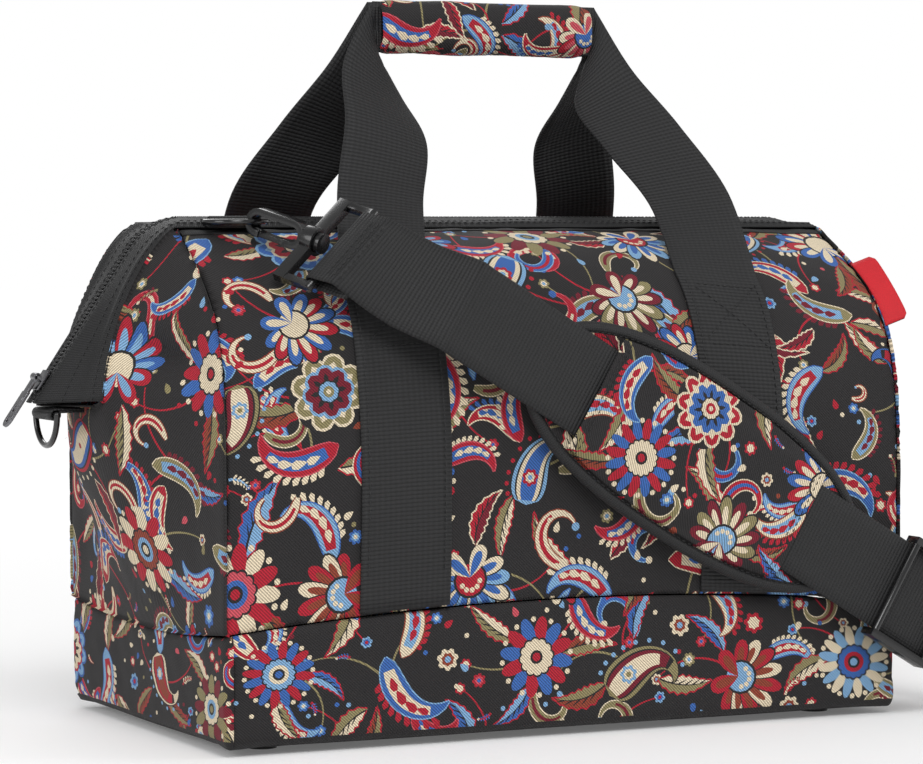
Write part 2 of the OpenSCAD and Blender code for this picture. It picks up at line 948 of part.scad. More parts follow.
// A strap end folded round a bar, as rows of [centre, half width vector], from its free end
function strap_fold(bar, axis, up, side) = concat(
    [for (k = [2:-1:1]) [bar + axis * fold_back * k / 2 - up * (wrap_radius + fold_gap * 0.2), side]],
    [
        for (k = [0:wrap_steps])
            let (angle = 180 * k / wrap_steps)
            [bar - wrap_radius * (up * cos(angle) + axis * sin(angle)), side]
    ]
);
front_rows = [
    [front_bar + front_hook_axis * 14 + front_bar_up * (wrap_radius + 1.5), front_bar_side],
    [[-98, -117, 240], mix(front_bar_side, strap_across, 0.6)],
    for (d = [straight_start - straight_lead, straight_start, 0, straight_end, straight_end + straight_lead])
        [strap_place + strap_along * d, strap_across]
];
round_rows = [
    [[242, -118, 46], [0.25, -0.2, 0.95]],
    [[239, -84, 52], [0, -0.25, 0.97]],
    [[231, -36, 66], [0, -0.38, 0.92]],
    [[231, 14, 86], [0, -0.48, 0.88]],
    [[231, 58, 116], [0, -0.55, 0.83]],
    [[226, 97, 152], [-0.1, -0.5, 0.86]],
    [[214, 122, 188], [0.3, -0.25, 0.92]],
    [[199, 124, 216], [0.72, -0.05, 0.69]]
];
back_row = [
    [back_bar + back_hook_axis * 14 + back_bar_up * (wrap_radius + 1.5), back_bar_side]
];
function turned(rows) = [for (k = [len(rows) - 1:-1:0]) rows[k]];
loose_rows = concat(front_rows, round_rows, back_row);
loose_steps = 3;
loose_spans = len(loose_rows) - 1;
smooth_rows = [
    for (i = [0:loose_spans * loose_steps])
        let (s = i / loose_steps)
        [spline([for (r = loose_rows) r[0]], s), spline([for (r = loose_rows) r[1]], s)]
];
strap_rows = concat(
    strap_fold(front_bar, front_hook_axis, front_bar_up, front_bar_side),
    smooth_rows,
    turned(strap_fold(back_bar, back_hook_axis, back_bar_up, back_bar_side))
);
strap_grid = [
    for (row = strap_rows)
        let (half = unit(row[1]) * webbing_width / 2)
        [row[0] - half, row[0], row[0] + half]
];

module shoulder_strap() {
    color(webbing_colour)
        sheet(strap_grid, 0, webbing_thickness);
}

// Children on the straight stretch, with X along the strap and Z away from the bag
module on_strap(distance) {
    set_at(strap_place + strap_along * distance, strap_along, [0, -1, 0])
        children();
}

adjuster_half = 18;
adjuster_bar = 2.2;
adjuster_rail = 4;
adjuster_inner = webbing_width / 2 + 1.2;
over_bar = strap_clear + adjuster_bar;
under_bar = -webbing_thickness - strap_clear - adjuster_bar;
module strap_adjuster() {
    color(black)
        on_strap(adjuster_at) {
            for (x = [-adjuster_half, adjuster_half])
                translate([x, 0, over_bar])
                    rotate([90, 0, 0])
                        cylinder(r = adjuster_bar, h = 2 * adjuster_inner + 1, center = true, $fn = 32);
            translate([0, 0, under_bar])
                rotate([90, 0, 0])
                    cylinder(r = adjuster_bar, h = 2 * adjuster_inner + 1, center = true, $fn = 32);
            for (y = [-adjuster_inner - adjuster_rail, adjuster_inner])
                translate([-adjuster_half - adjuster_bar, y, under_bar - adjuster_bar])
                    cube([
                        2 * (adjuster_half + adjuster_bar),
                        adjuster_rail,
                        over_bar - under_bar + 2 * adjuster_bar
                    ]);
        }
}

loop_hole = adjuster_bar + strap_clear;
loop_tail = 22;
module adjuster_loop() {
    color(webbing_colour)
        on_strap(adjuster_at)
            translate([0, 0, under_bar])
                rotate([90, 0, 0])
                    linear_extrude(webbing_width, center = true)
                        difference() {
                            union() {
                                intersection() {
                                    circle(r = loop_hole + webbing_thickness, $fn = 48);
                                    translate([-2 * loop_hole, -3 * loop_hole])
                                        square([4 * loop_hole, 3 * loop_hole + adjuster_bar]);
                                }
                                translate([0, -loop_hole - webbing_thickness])
                                    square([loop_tail, webbing_thickness]);
                            }
                            circle(r = loop_hole, $fn = 48);
                        }
}

// Shoulder pad, lying behind the strap, with its sleeve over the strap and its binding round the edge
pad_power = 2.4;
function signed_power(a, p) = sign(a) * pow(abs(a), p);
function pad_outline(inset) = [
    for (k = [0:5:355])
        [
            (pad_length / 2 - inset) * signed_power(cos(k), 2 / pad_power),
            (pad_width / 2 - inset) * signed_power(sin(k), 2 / pad_power)
        ]
];
sleeve_wall = 1.3;
channel = webbing_thickness + 2 * strap_clear;

module on_pad() {
    set_at(pad_place, strap_along, [0, -1, 0])
        children();
}

module shoulder_pad() {
    color(black)
        on_pad()
            linear_extrude(pad_thickness)
                polygon(pad_outline(binding_width + seam_gap));
}

module pad_sleeve() {
    color(cloth_colour)
        on_pad()
            translate([0, 0, pad_thickness])
                difference() {
                    linear_extrude(channel + sleeve_wall)
                        intersection() {
                            polygon(pad_outline(binding_width + seam_gap));
                            square([sleeve_length, pad_width], center = true);
                        }
                    translate([-sleeve_length, -webbing_width / 2 - 1, -1])
                        cube([2 * sleeve_length, webbing_width + 2, channel + 1]);
                }
}

module pad_binding() {
    color(black)
        on_pad()
            linear_extrude(pad_thickness)
                difference() {
                    polygon(pad_outline(0));
                    polygon(pad_outline(binding_width));
                }
}

// Blank tag sewn into the right front seam
tag_reach = 12;
tag_out = unit([0.86, -0.35, 0.37]);
tag_grid = [
    for (t = [0.565:0.045:0.836])
        [for (k = [0.03, 0.5, 1]) front_point(1, t) + tag_out * tag_reach * k]
];
module side_tag() {
    color(red)
        sheet(tag_grid, 0, 1);
}

bottom_panel();
base_board();
feet();
base_band();
front_panel();
back_panel();
left_end_panel();
right_end_panel();
zip_tape_front();
zip_tape_back();
zip_coil_front();
zip_coil_back();
zip_slider();
zip_pull();
frame_wire_front();
frame_wire_back();
left_end_tab();
right_end_tab();
left_end_ring();
right_end_ring();
handle_front();
handle_back();
handle_grip();
front_ring_tab();
back_ring_tab();
front_ring();
back_ring();
front_hook();
front_hook_gate();
front_hook_frame();
back_hook();
back_hook_gate();
back_hook_frame();
shoulder_strap();
strap_adjuster();
adjuster_loop();
shoulder_pad();
pad_sleeve();
pad_binding();
side_tag();
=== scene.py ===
import math
import random

import bpy
import numpy as np
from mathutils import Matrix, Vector
from mathutils.geometry import delaunay_2d_cdt
from mathutils.kdtree import KDTree


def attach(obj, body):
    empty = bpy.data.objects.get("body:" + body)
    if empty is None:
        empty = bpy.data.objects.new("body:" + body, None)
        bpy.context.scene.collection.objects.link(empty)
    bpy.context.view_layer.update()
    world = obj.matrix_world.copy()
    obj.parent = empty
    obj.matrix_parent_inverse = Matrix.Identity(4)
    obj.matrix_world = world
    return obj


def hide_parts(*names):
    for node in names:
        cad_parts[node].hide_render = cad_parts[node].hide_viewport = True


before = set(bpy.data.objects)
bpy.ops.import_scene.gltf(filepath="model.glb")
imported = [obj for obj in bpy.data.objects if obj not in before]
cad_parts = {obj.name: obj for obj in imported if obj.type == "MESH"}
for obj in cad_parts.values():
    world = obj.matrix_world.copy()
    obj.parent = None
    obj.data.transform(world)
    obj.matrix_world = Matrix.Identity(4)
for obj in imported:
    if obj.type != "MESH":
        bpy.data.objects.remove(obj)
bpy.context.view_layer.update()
scene = bpy.context.scene
scene.view_settings.view_transform = "Standard"

# Camera at the photograph's viewing angle
camera_yaw = math.radians(25.85)
camera_pitch = math.radians(2.51)
camera_data = bpy.data.cameras.new("camera")
camera_data.sensor_width = 36
camera_data.lens = 142.4
camera_data.clip_start = 0.05
camera_data.clip_end = 60
camera = bpy.data.objects.new("camera", camera_data)
camera.location = (-0.8908, -1.8129, 0.271)
camera.rotation_euler = (math.pi / 2 - camera_pitch, 0, -camera_yaw)
scene.collection.objects.link(camera)
scene.camera = camera

# Driving sizes in millimetres, as in the solids
MM = 0.001
print_margin = 30
half_length = 200
half_depth = 114
ridge_height = 273
hem_height = ridge_height - 5
hem_half_length = half_length - 5
shoulder_height = ridge_height - 61
band_front_height = 73
band_end_height = 57
band_corner_height = (band_front_height + band_end_height) / 2 - 3
bottom_z = 4
base_corner = 5
base_turn = 8
seam_gap = 0.4
cloth = 2
tape_half_width = 34
beak_tip = half_length + 62
beak_height = 176.5
leg_foot = (half_length + 33, 30, beak_height + 1.5)
leg_share = 0.3
webbing_width = 50
webbing_thickness = 1.8
strap_clear = 0.3

middle_profile = np.array([
    (-half_depth, band_front_height),
    (-half_depth - 10, shoulder_height - 2),
    (-half_depth + 4, hem_height - 13),
    (-tape_half_width, hem_height),
], float)
corner_profile = np.array([
    (-half_depth, band_corner_height),
    (-half_depth - 2, shoulder_height),
    (-half_depth - 6, shoulder_height + 10),
    (-tape_half_width, hem_height),
], float)
end_profile = np.array([
    (half_length, band_end_height),
    (half_length + 12, band_end_height + 43),
    (half_length + 38, band_end_height + 83),
    (half_length + 36, beak_height - 2.2),
], float)
leg_hem = np.array([
    (hem_half_length, tape_half_width, hem_height),
    (half_length + 13, tape_half_width - 1, hem_height - 13),
    (half_length + 31, leg_foot[1], beak_height + 38),
    leg_foot,
], float)


# Small geometry helpers
def unit(v):
    v = np.asarray(v, float)
    return v / np.linalg.norm(v, axis=-1, keepdims=True)


def mix(a, b, t):
    return a + (b - a) * t


def bezier(p, t):
    t = np.asarray(t, float)[..., None]
    s = 1 - t
    return p[0] * s ** 3 + p[1] * 3 * t * s ** 2 + p[2] * 3 * t * t * s + p[3] * t ** 3


def spline(p, s):
    last = len(p) - 1
    k = min(int(s), last - 1)
    f = s - k
    a = p[max(0, k - 1)]
    b = p[k]
    c = p[k + 1]
    d = p[min(last, k + 2)]
    bend = (2 * a - 5 * b + 4 * c - d) * f * f + (3 * b - a - 3 * c + d) * f ** 3
    return 0.5 * (2 * b + (c - a) * f + bend)


def smooth_step(low, high, value):
    x = np.clip((value - low) / (high - low), 0, 1)
    return x * x * (3 - 2 * x)


def bell(distance, width):
    """1 at no distance, falling smoothly to 0 over a few widths."""
    return np.exp(-(distance / width) ** 2)


def half_turn(points):
    return np.asarray(points, float) * (-1, -1, 1)


def facing(points, turned):
    """Points as given, or turned half round to the other side of the bag."""
    return half_turn(points) if turned else points


def path_run(points):
    """Distance along a path at each of its points."""
    return np.concatenate([[0], np.cumsum(np.linalg.norm(np.diff(points, axis=0), axis=1))])


def at_run(at, run, points):
    """Points of a path at distances along it."""
    return np.stack([np.interp(at, run, points[:, c]) for c in range(3)], axis=-1)


def placed(points, origin, x_axis, z_near):
    """Points of a local frame, set at an origin with its X along one direction and its Z near another."""
    ex = unit(x_axis)
    ey = unit(np.cross(z_near, ex))
    ez = np.cross(ex, ey)
    points = np.asarray(points, float)
    return np.asarray(origin, float) + points[:, :1] * ex + points[:, 1:2] * ey + points[:, 2:3] * ez


def ripples(a, b, seed, length, height, count=7):
    """Smooth low dents over a plane: a seeded sum of waves near one wavelength."""
    draw = random.Random(seed)
    total = np.zeros(np.shape(a))
    for _ in range(count):
        turn = draw.uniform(0, math.tau)
        scale = math.tau / (length * draw.uniform(0.7, 1.5))
        total = total + np.sin((a * math.cos(turn) + b * math.sin(turn)) * scale + draw.uniform(0, math.tau))
    return total * height / math.sqrt(count)


# Piece makers
def add_piece(name, points, faces, material, body="bag", nodes=(), uvs=None, colours=None):
    """A mesh piece from points in millimetres, riding on a body and standing for CAD nodes."""
    mesh = bpy.data.meshes.new(name)
    mesh.from_pydata((np.asarray(points, float) * MM).tolist(), [], [list(f) for f in faces])
    mesh.materials.append(material)
    corners = np.empty(len(mesh.loops), dtype=np.int32)
    mesh.loops.foreach_get("vertex_index", corners)
    if uvs is not None:
        layer = mesh.uv_layers.new(name="cloth")
        flat = np.asarray(uvs, float)[corners]
        layer.data.foreach_set("uv", flat.ravel())
    if colours is not None:
        layer = mesh.color_attributes.new("print", "FLOAT_COLOR", "CORNER")
        sides = np.empty(len(mesh.polygons), dtype=np.int32)
        mesh.polygons.foreach_get("loop_total", sides)
        flat = np.repeat(np.asarray(colours, float), sides, axis=0)
        layer.data.foreach_set("color", flat.ravel())
    mesh.shade_smooth()
    mesh.update()
    piece = bpy.data.objects.new(name, mesh)
    scene.collection.objects.link(piece)
    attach(piece, body)
    if nodes:
        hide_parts(*nodes)
    return piece


def add_modifier(piece, kind, **settings):
    modifier = piece.modifiers.new(kind.lower(), kind)
    for key, value in settings.items():
        setattr(modifier, key, value)
    return modifier


def grid_faces(rows, columns, closed=False):
    spans = columns if closed else columns - 1
    faces = []
    for i in range(rows - 1):
        for j in range(spans):
            k = (j + 1) % columns
            faces.append((i * columns + j, i * columns + k, (i + 1) * columns + k, (i + 1) * columns + j))
    return faces


def tube(path, radius, sides):
    """Points and faces of a round bar along a path, with its turn carried along without twist."""
    path = np.asarray(path, float)
    count = len(path)
    rings = []
    along = unit(path[1] - path[0])
    normal = unit(np.cross(along, (0.31, 0.52, 0.79)))
    for i in range(count):
        along = unit(path[min(count - 1, i + 1)] - path[max(0, i - 1)])
        normal = unit(normal - along * np.dot(normal, along))
        side = np.cross(along, normal)
        r = radius[i] if np.ndim(radius) else radius
        for k in range(sides):
            angle = math.tau * k / sides
            rings.append(path[i] + r * (math.cos(angle) * normal + math.sin(angle) * side))
    faces = grid_faces(count, sides, closed=True)
    faces.append(tuple(range(sides - 1, -1, -1)))
    faces.append(tuple(range((count - 1) * sides, count * sides)))
    return np.array(rings), faces


class Heap:
    """Collects the points and faces of many small shapes into one piece."""

    def __init__(self):
        self.points = []
        self.faces = []
        self.count = 0

    def add(self, points, faces):
        self.points.append(np.asarray(points, float))
        self.faces += [tuple(i + self.count for i in f) for f in faces]
        self.count += len(points)


# Materials
def srgb(code):
    """Linear colour of a hex code."""
    parts = [int(code[i:i + 2], 16) / 255 for i in (1, 3, 5)]
    return tuple(c / 12.92 if c <= 0.04045 else ((c + 0.055) / 1.055) ** 2.4 for c in parts) + (1.0,)


# Wavelength of the wave texture's bands at scale 1, along an axis and along the diagonal
axis_period = 0.31416
diagonal_period = 0.4443


class Look:
    """A node material under construction, with one Principled shader."""

    def __init__(self, name, **constants):
        self.material = bpy.data.materials.new(name)
        self.material.use_nodes = True
        self.tree = self.material.node_tree
        self.tree.nodes.clear()
        output = self.add("ShaderNodeOutputMaterial")
        self.shader = self.add("ShaderNodeBsdfPrincipled")
        self.tree.links.new(self.shader.outputs["BSDF"], output.inputs["Surface"])
        for key, value in constants.items():
            self.shader.inputs[key.replace("_", " ")].default_value = value

    def add(self, kind, inputs=None, **settings):
        node = self.tree.nodes.new(kind)
        for key, value in settings.items():
            setattr(node, key, value)
        for key, value in (inputs or {}).items():
            self.plug(node.inputs[key], value)
        return node

    def plug(self, socket, value):
        if isinstance(value, bpy.types.NodeSocket):
            self.tree.links.new(value, socket)
        else:
            socket.default_value = value

    def into(self, name, value):
        self.plug(self.shader.inputs[name], value)

    def cloth_plane(self):
        """Millimetre coordinates on the cloth."""
        return self.add("ShaderNodeUVMap", uv_map="cloth").outputs["UV"]

    def object_space(self):
        return self.add("ShaderNodeTexCoord").outputs["Object"]

    def wave(self, coordinates, pitch, direction, distortion=0.0):
        """Even bands of one pitch, from 0 to 1."""
        period = diagonal_period if direction == "DIAGONAL" else axis_period
        inputs = {"Vector": coordinates, "Scale": period / pitch, "Distortion": distortion,
                  "Detail": 1.0, "Detail Scale": 2.0}
        node = self.add("ShaderNodeTexWave", inputs, wave_type="BANDS", bands_direction=direction)
        return node.outputs["Fac"]

    def noise(self, coordinates, scale, detail=3.0):
        inputs = {"Vector": coordinates, "Scale": scale, "Detail": detail}
        return self.add("ShaderNodeTexNoise", inputs).outputs["Fac"]

    def math(self, operation, a, b):
        return self.add("ShaderNodeMath", {0: a, 1: b}, operation=operation).outputs[0]

    def span(self, value, low, high):
        inputs = {"Value": value, "To Min": low, "To Max": high}
        return self.add("ShaderNodeMapRange", inputs).outputs["Result"]

    def tint(self, colour, factor):
        """A colour multiplied by a grey factor."""
        grey = self.add("ShaderNodeCombineColor", dict.fromkeys(("Red", "Green", "Blue"), factor))
        inputs = {"Factor": 1.0, "A": colour, "B": grey.outputs["Color"]}
        node = self.add("ShaderNodeMix", inputs, data_type="RGBA", blend_type="MULTIPLY")
        return node.outputs["Result"]

    def bump(self, height, strength, distance):
        inputs = {"Strength": strength, "Distance": distance * MM, "Height": height}
        self.into("Normal", self.add("ShaderNodeBump", inputs).outputs["Normal"])


palette = {
    "ground": srgb("#242223"),
    "crimson": srgb("#b01c30"),
    "wine": srgb("#75182a"),
    "blue": srgb("#3a66ad"),
    "sky": srgb("#7fa9cf"),
    "cream": srgb("#e3d3b6"),
    "olive": srgb("#8d835c"),
    "rust": srgb("#8d3f2c"),
    "navy": srgb("#2a3a6b"),
    "rose": srgb("#c8505c"),
}


def twill_look(name, printed):
    look = Look(name, Sheen_Weight=0.04, Sheen_Roughness=0.5, Specular_IOR_Level=0.35)
    plane = look.cloth_plane()
    twill = look.wave(plane, 1.25, "DIAGONAL", distortion=0.4)
    weft = look.wave(plane, 0.62, "X")
    fibre = look.noise(plane, 1.7)
    patch = look.noise(plane, 0.02)
    weave = look.math("ADD", look.math("MULTIPLY", twill, 0.78), look.math("MULTIPLY", weft, 0.22))
    shade = look.math("MULTIPLY", look.span(weave, 0.42, 1.46), look.span(fibre, 0.7, 1.3))
    shade = look.math("MULTIPLY", shade, look.span(patch, 0.88, 1.12))
    if printed:
        base = look.add("ShaderNodeVertexColor", layer_name="print").outputs["Color"]
    else:
        base = palette["ground"]
    look.into("Base Color", look.tint(base, shade))
    look.into("Roughness", look.span(fibre, 0.62, 0.86))
    look.bump(look.math("ADD", weave, look.math("MULTIPLY", fibre, 0.4)), 0.7, 0.28)
    return look.material


def webbing_look(name, pitch, colour, depth):
    look = Look(name, Sheen_Weight=0.03, Sheen_Roughness=0.45, Specular_IOR_Level=0.4)
    plane = look.cloth_plane()
    rib = look.math("POWER", look.wave(plane, pitch, "Y", distortion=0.25), 0.45)
    warp = look.wave(plane, pitch * 0.75, "X", distortion=0.3)
    fibre = look.noise(plane, 2.1)
    patch = look.noise(plane, 0.05)
    weave = look.math("ADD", look.math("MULTIPLY", rib, 0.72), look.math("MULTIPLY", warp, 0.28))
    shade = look.math("MULTIPLY", look.span(weave, 0.16, 1.3), look.span(fibre, 0.7, 1.3))
    shade = look.math("MULTIPLY", shade, look.span(patch, 0.88, 1.12))
    look.into("Base Color", look.tint(colour, shade))
    look.into("Roughness", look.span(fibre, 0.5, 0.76))
    look.bump(look.math("ADD", weave, look.math("MULTIPLY", fibre, 0.25)), 0.6, depth)
    return look.material


def hard_look(name, colour, rough, grain, metallic=0.0, coat=0.0, grain_scale=900.0):
    """Moulded plastic or painted metal: fine grain, uneven gloss and faint rubbed patches."""
    look = Look(name, Metallic=metallic, Coat_Weight=coat, Coat_Roughness=0.12)
    space = look.object_space()
    fine = look.noise(space, grain_scale, 4.0)
    broad = look.noise(space, 60.0, 3.0)
    look.into("Base Color", look.tint(colour, look.span(broad, 0.8, 1.25)))
    look.into("Roughness", look.math("ADD", look.span(broad, rough - 0.07, rough + 0.07),
                                     look.span(fine, -0.04, 0.04)))
    look.bump(look.math("ADD", look.math("MULTIPLY", fine, 0.6), broad), grain, 0.12)
    return look.material


printed_twill = twill_look("printed_twill", True)
plain_twill = twill_look("plain_twill", False)
black_webbing = webbing_look("black_webbing", 2.1, srgb("#222223"), 0.8)
tape_weave = webbing_look("tape_weave", 1.2, srgb("#1e1e1f"), 0.4)
binding_weave = webbing_look("binding_weave", 1.3, srgb("#202021"), 0.4)
tag_weave = webbing_look("tag_weave", 0.6, srgb("#dd1f2c"), 0.12)
thread = hard_look("thread", srgb("#1f1f20"), 0.6, 0.2)
coil_nylon = hard_look("coil_nylon", srgb("#1b1b1c"), 0.34, 0.1)
gunmetal = hard_look("gunmetal", srgb("#77777a"), 0.3, 0.12, metallic=1.0)
gloss_black = hard_look("gloss_black", srgb("#161617"), 0.22, 0.08, coat=0.4)
moulded_black = hard_look("moulded_black", srgb("#161617"), 0.26, 0.12, coat=0.3)
fibreboard = hard_look("fibreboard", srgb("#7c6a55"), 0.8, 0.5, grain_scale=300.0)
spring_steel = hard_look("spring_steel", srgb("#8c8d90"), 0.35, 0.1, metallic=1.0)


# Stage: a pale floor and soft studio light
def pale_floor():
    look = Look("pale_floor", Roughness=0.9, Specular_IOR_Level=0.1)
    place = look.add("ShaderNodeNewGeometry").outputs["Position"]
    reach = look.add("ShaderNodeVectorMath", operation="LENGTH", inputs={0: place}).outputs["Value"]
    inputs = {"Value": reach, "From Min": 0.5, "From Max": 1.5}
    far = look.add("ShaderNodeMapRange", inputs, interpolation_type="SMOOTHSTEP").outputs["Result"]
    look.into("Base Color", look.tint((0.9, 0.9, 0.9, 1.0), look.math("SUBTRACT", 1.0, far)))
    path = look.add("ShaderNodeLightPath")
    seen = look.math("MAXIMUM", path.outputs["Is Camera Ray"], path.outputs["Is Glossy Ray"])
    seen = look.math("MAXIMUM", seen, path.outputs["Is Transmission Ray"])
    look.into("Emission Strength", look.math("MULTIPLY", seen, look.span(far, 0.12, 1.0)))
    look.into("Emission Color", (1.0, 1.0, 1.0, 1.0))
    return look.material


floor_mesh = bpy.data.meshes.new("floor")
floor_size = 12
floor_corners = [(-floor_size, -floor_size, 0), (floor_size, -floor_size, 0),
                 (floor_size, floor_size, 0), (-floor_size, floor_size, 0)]
floor_mesh.from_pydata(floor_corners, [], [(0, 1, 2, 3)])
floor_mesh.materials.append(pale_floor())
floor = bpy.data.objects.new("floor", floor_mesh)
scene.collection.objects.link(floor)

world = bpy.data.worlds.new("studio")
scene.world = world
world.use_nodes = True
world_nodes = world.node_tree.nodes
world_nodes.clear()
world_out = world_nodes.new("ShaderNodeOutputWorld")
seen_sky = world_nodes.new("ShaderNodeBackground")
soft_sky = world_nodes.new("ShaderNodeBackground")
for sky, strength in ((seen_sky, 1.0), (soft_sky, 0.45)):
    sky.inputs["Color"].default_value = (1.0, 1.0, 1.0, 1.0)
    sky.inputs["Strength"].default_value = strength
sky_path = world_nodes.new("ShaderNodeLightPath")
sky_seen = world_nodes.new("ShaderNodeMath")
sky_seen.operation = "MAXIMUM"
sky_mix = world_nodes.new("ShaderNodeMixShader")
sky_links = world.node_tree.links
sky_links.new(sky_path.outputs["Is Camera Ray"], sky_seen.inputs[0])
sky_links.new(sky_path.outputs["Is Transmission Ray"], sky_seen.inputs[1])
sky_links.new(sky_seen.outputs[0], sky_mix.inputs[0])
sky_links.new(soft_sky.outputs[0], sky_mix.inputs[1])
sky_links.new(seen_sky.outputs[0], sky_mix.inputs[2])
sky_links.new(sky_mix.outputs[0], world_out.inputs["Surface"])


def area_light(name, place, target, size, power):
    data = bpy.data.lights.new(name, "AREA")
    data.shape = "DISK"
    data.size = size
    data.energy = power
    lamp = bpy.data.objects.new(name, data)
    lamp.location = place
    aim = Vector(target) - Vector(place)
    lamp.rotation_euler = aim.to_track_quat("-Z", "Y").to_euler()
    scene.collection.objects.link(lamp)


area_light("key_light", (-0.6, -2.2, 2.3), (0, 0, 0.15), 1.6, 42)
area_light("left_light", (-2.4, -0.6, 1.2), (0, 0, 0.15), 1.4, 16)
area_light("right_light", (2.3, -1.2, 1.4), (0, 0, 0.15), 1.4, 14)
area_light("back_light", (0.4, 2.3, 1.9), (0, 0, 0.2), 1.6, 20)


# Print: flat motifs as complex outlines in millimetres, each with a colour, drawn one over another
def drop(length, width, count=16, point=1.0):
    """Teardrop from the origin along the real axis, round at its far end."""
    a = np.linspace(0, math.tau, count, endpoint=False)
    across = np.sin(a) * np.sin(a / 2) ** point
    return length * (1 - np.cos(a)) / 2 + 1j * width * 0.65 * across


def disc(radius, count=14):
    return radius * np.exp(1j * np.linspace(0, math.tau, count, endpoint=False))


def scallop(radius, lobes, depth=0.12):
    a = np.linspace(0, math.tau, lobes * 6, endpoint=False)
    return radius * (1 - depth + depth * np.abs(np.sin(a * lobes / 2)) ** 0.7) * np.exp(1j * a)


def curve(length, bend, count=12, tighten=1.0):
    """Path from the origin that turns by a number of radians, more towards its end."""
    s = np.linspace(0, 1, count)
    heading = bend * s ** tighten
    steps = np.exp(1j * heading[:-1]) * length / (count - 1)
    return np.concatenate([[0], np.cumsum(steps)])


def stroke(path, widths):
    """Outline of a line of changing width along a path."""
    ahead = np.gradient(path)
    side = 1j * ahead / np.abs(ahead) * widths / 2
    return np.concatenate([path + side, (path - side)[::-1]])


def moved(shapes, place, turn=0.0):
    return [(outline * np.exp(1j * turn) + place, colour) for outline, colour in shapes]


def ring_of(shape, count, start=0.0):
    return [shape * np.exp(1j * (start + math.tau * k / count)) for k in range(count)]


def rosette(radius, lobes, colours):
    outer, inner, ring, heart = colours
    gap = math.pi / lobes
    wide = math.tau * radius * 0.8 / lobes
    shapes = [(scallop(radius * 1.07, lobes), "ground")]
    petals = (
        (1.03, 1.04, 13, inner, 0.0), (0.96, 0.84, 12, outer, 0.0), (0.8, 0.42, 8, inner, 0.0),
        (0.72, 0.86, 10, heart, gap), (0.65, 0.64, 9, ring, gap), (0.5, 0.22, 6, "ground", gap),
    )
    for reach, share, count, colour, start in petals:
        petal = drop(radius * reach, wide * share, count)
        shapes += [(p, colour) for p in ring_of(petal, lobes, start)]
    shapes += [(disc(radius * 0.3), "ground"), (scallop(radius * 0.27, lobes), heart)]
    shapes += [(disc(radius * 0.15), outer), (disc(radius * 0.07, 8), "cream")]
    return shapes


def bud(radius, lobes, colours):
    """A small flower of few points."""
    outer, inner, _, heart = colours
    shapes = [(scallop(radius, lobes, 0.26)[::2], outer), (scallop(radius * 0.62, lobes, 0.2)[::3], inner)]
    return shapes + [(disc(radius * 0.3, 7), heart)]


def starflower(radius, lobes, colours):
    outer, inner, ring, heart = colours
    wide = math.tau * radius * 0.62 / lobes
    shapes = [(disc(radius * 0.75, 20), "ground")]
    for k, petal in enumerate(ring_of(drop(radius, wide, point=0.7), lobes)):
        shapes.append((petal, outer if k % 2 else ring))
    bead = disc(radius * 0.07, 8) + radius * 0.93
    shapes += [(p, "cream") for p in ring_of(bead, lobes, math.pi / lobes)]
    shapes += [(scallop(radius * 0.5, lobes), "ground"), (scallop(radius * 0.45, lobes), inner)]
    shapes += [(disc(radius * 0.28), heart), (disc(radius * 0.17), "ground"), (disc(radius * 0.11, 8), outer)]
    return shapes


def palmette(radius, colours):
    outer, inner, ring, heart = colours
    shapes = []
    lobes = 9
    for k in range(lobes):
        turn = math.radians(-100 + 200 * k / (lobes - 1))
        reach = radius * (0.72 + 0.28 * math.cos(turn * 0.8))
        wide = radius * 0.3
        lobe = np.exp(1j * turn)
        shapes.append((drop(reach * 1.05, wide * 1.18) * lobe, "ground"))
        shapes.append((drop(reach, wide) * lobe, outer if k % 2 else ring))
        shapes.append((drop(reach * 0.8, wide * 0.5) * lobe, inner))
    shapes += [(disc(radius * 0.36) + radius * 0.05, "ground"), (disc(radius * 0.31) + radius * 0.05, heart)]
    for k in range(5):
        turn = np.exp(1j * math.radians(-70 + 35 * k))
        shapes.append(((disc(radius * 0.055, 8) + radius * 0.2) * turn + radius * 0.05, "cream"))
    for side in (-1, 1):
        back = np.exp(1j * side * 2.5)
        shapes.append((drop(radius * 0.66, radius * 0.34) * back, ring))
        shapes.append((drop(radius * 0.54, radius * 0.18) * back, inner))
    return shapes


def serrated_leaf(length, width, bend, colours):
    light, dark = colours
    count = 15
    spine = curve(length, bend, count)
    s = np.linspace(0, 1, count)
    ahead = np.gradient(spine)
    normal = 1j * ahead / np.abs(ahead)
    saw = np.where(np.arange(count) % 2 == 0, 1.0, 0.74)
    reach = width / 2 * np.sin(math.pi * s ** 0.8) * saw
    back = spine - ahead / np.abs(ahead) * length * 0.05
    upper = spine + normal * reach
    lower = back - normal * reach
    rim = np.maximum(reach, 0.3) + 0.9
    key = np.concatenate([spine + normal * rim, [spine[-1] + ahead[-1] * 0.5], (back - normal * rim)[::-1]])
    shapes = [(key, "crimson" if light != "crimson" else "cream")]
    shapes.append((np.concatenate([spine, upper[::-1]]), light))
    shapes.append((np.concatenate([spine, lower[::-1]])[1:], dark))
    vein = stroke(spine, np.linspace(width * 0.09, width * 0.02, count))
    shapes.append((vein, "ground"))
    for k in range(3, count - 3, 2):
        rib = np.array([spine[k], spine[min(count - 1, k + 2)] + normal[k] * reach[k] * 0.72])
        shapes.append((stroke(np.linspace(rib[0], rib[1], 4), np.array([0.9, 0.8, 0.6, 0.3])), "ground"))
    return shapes


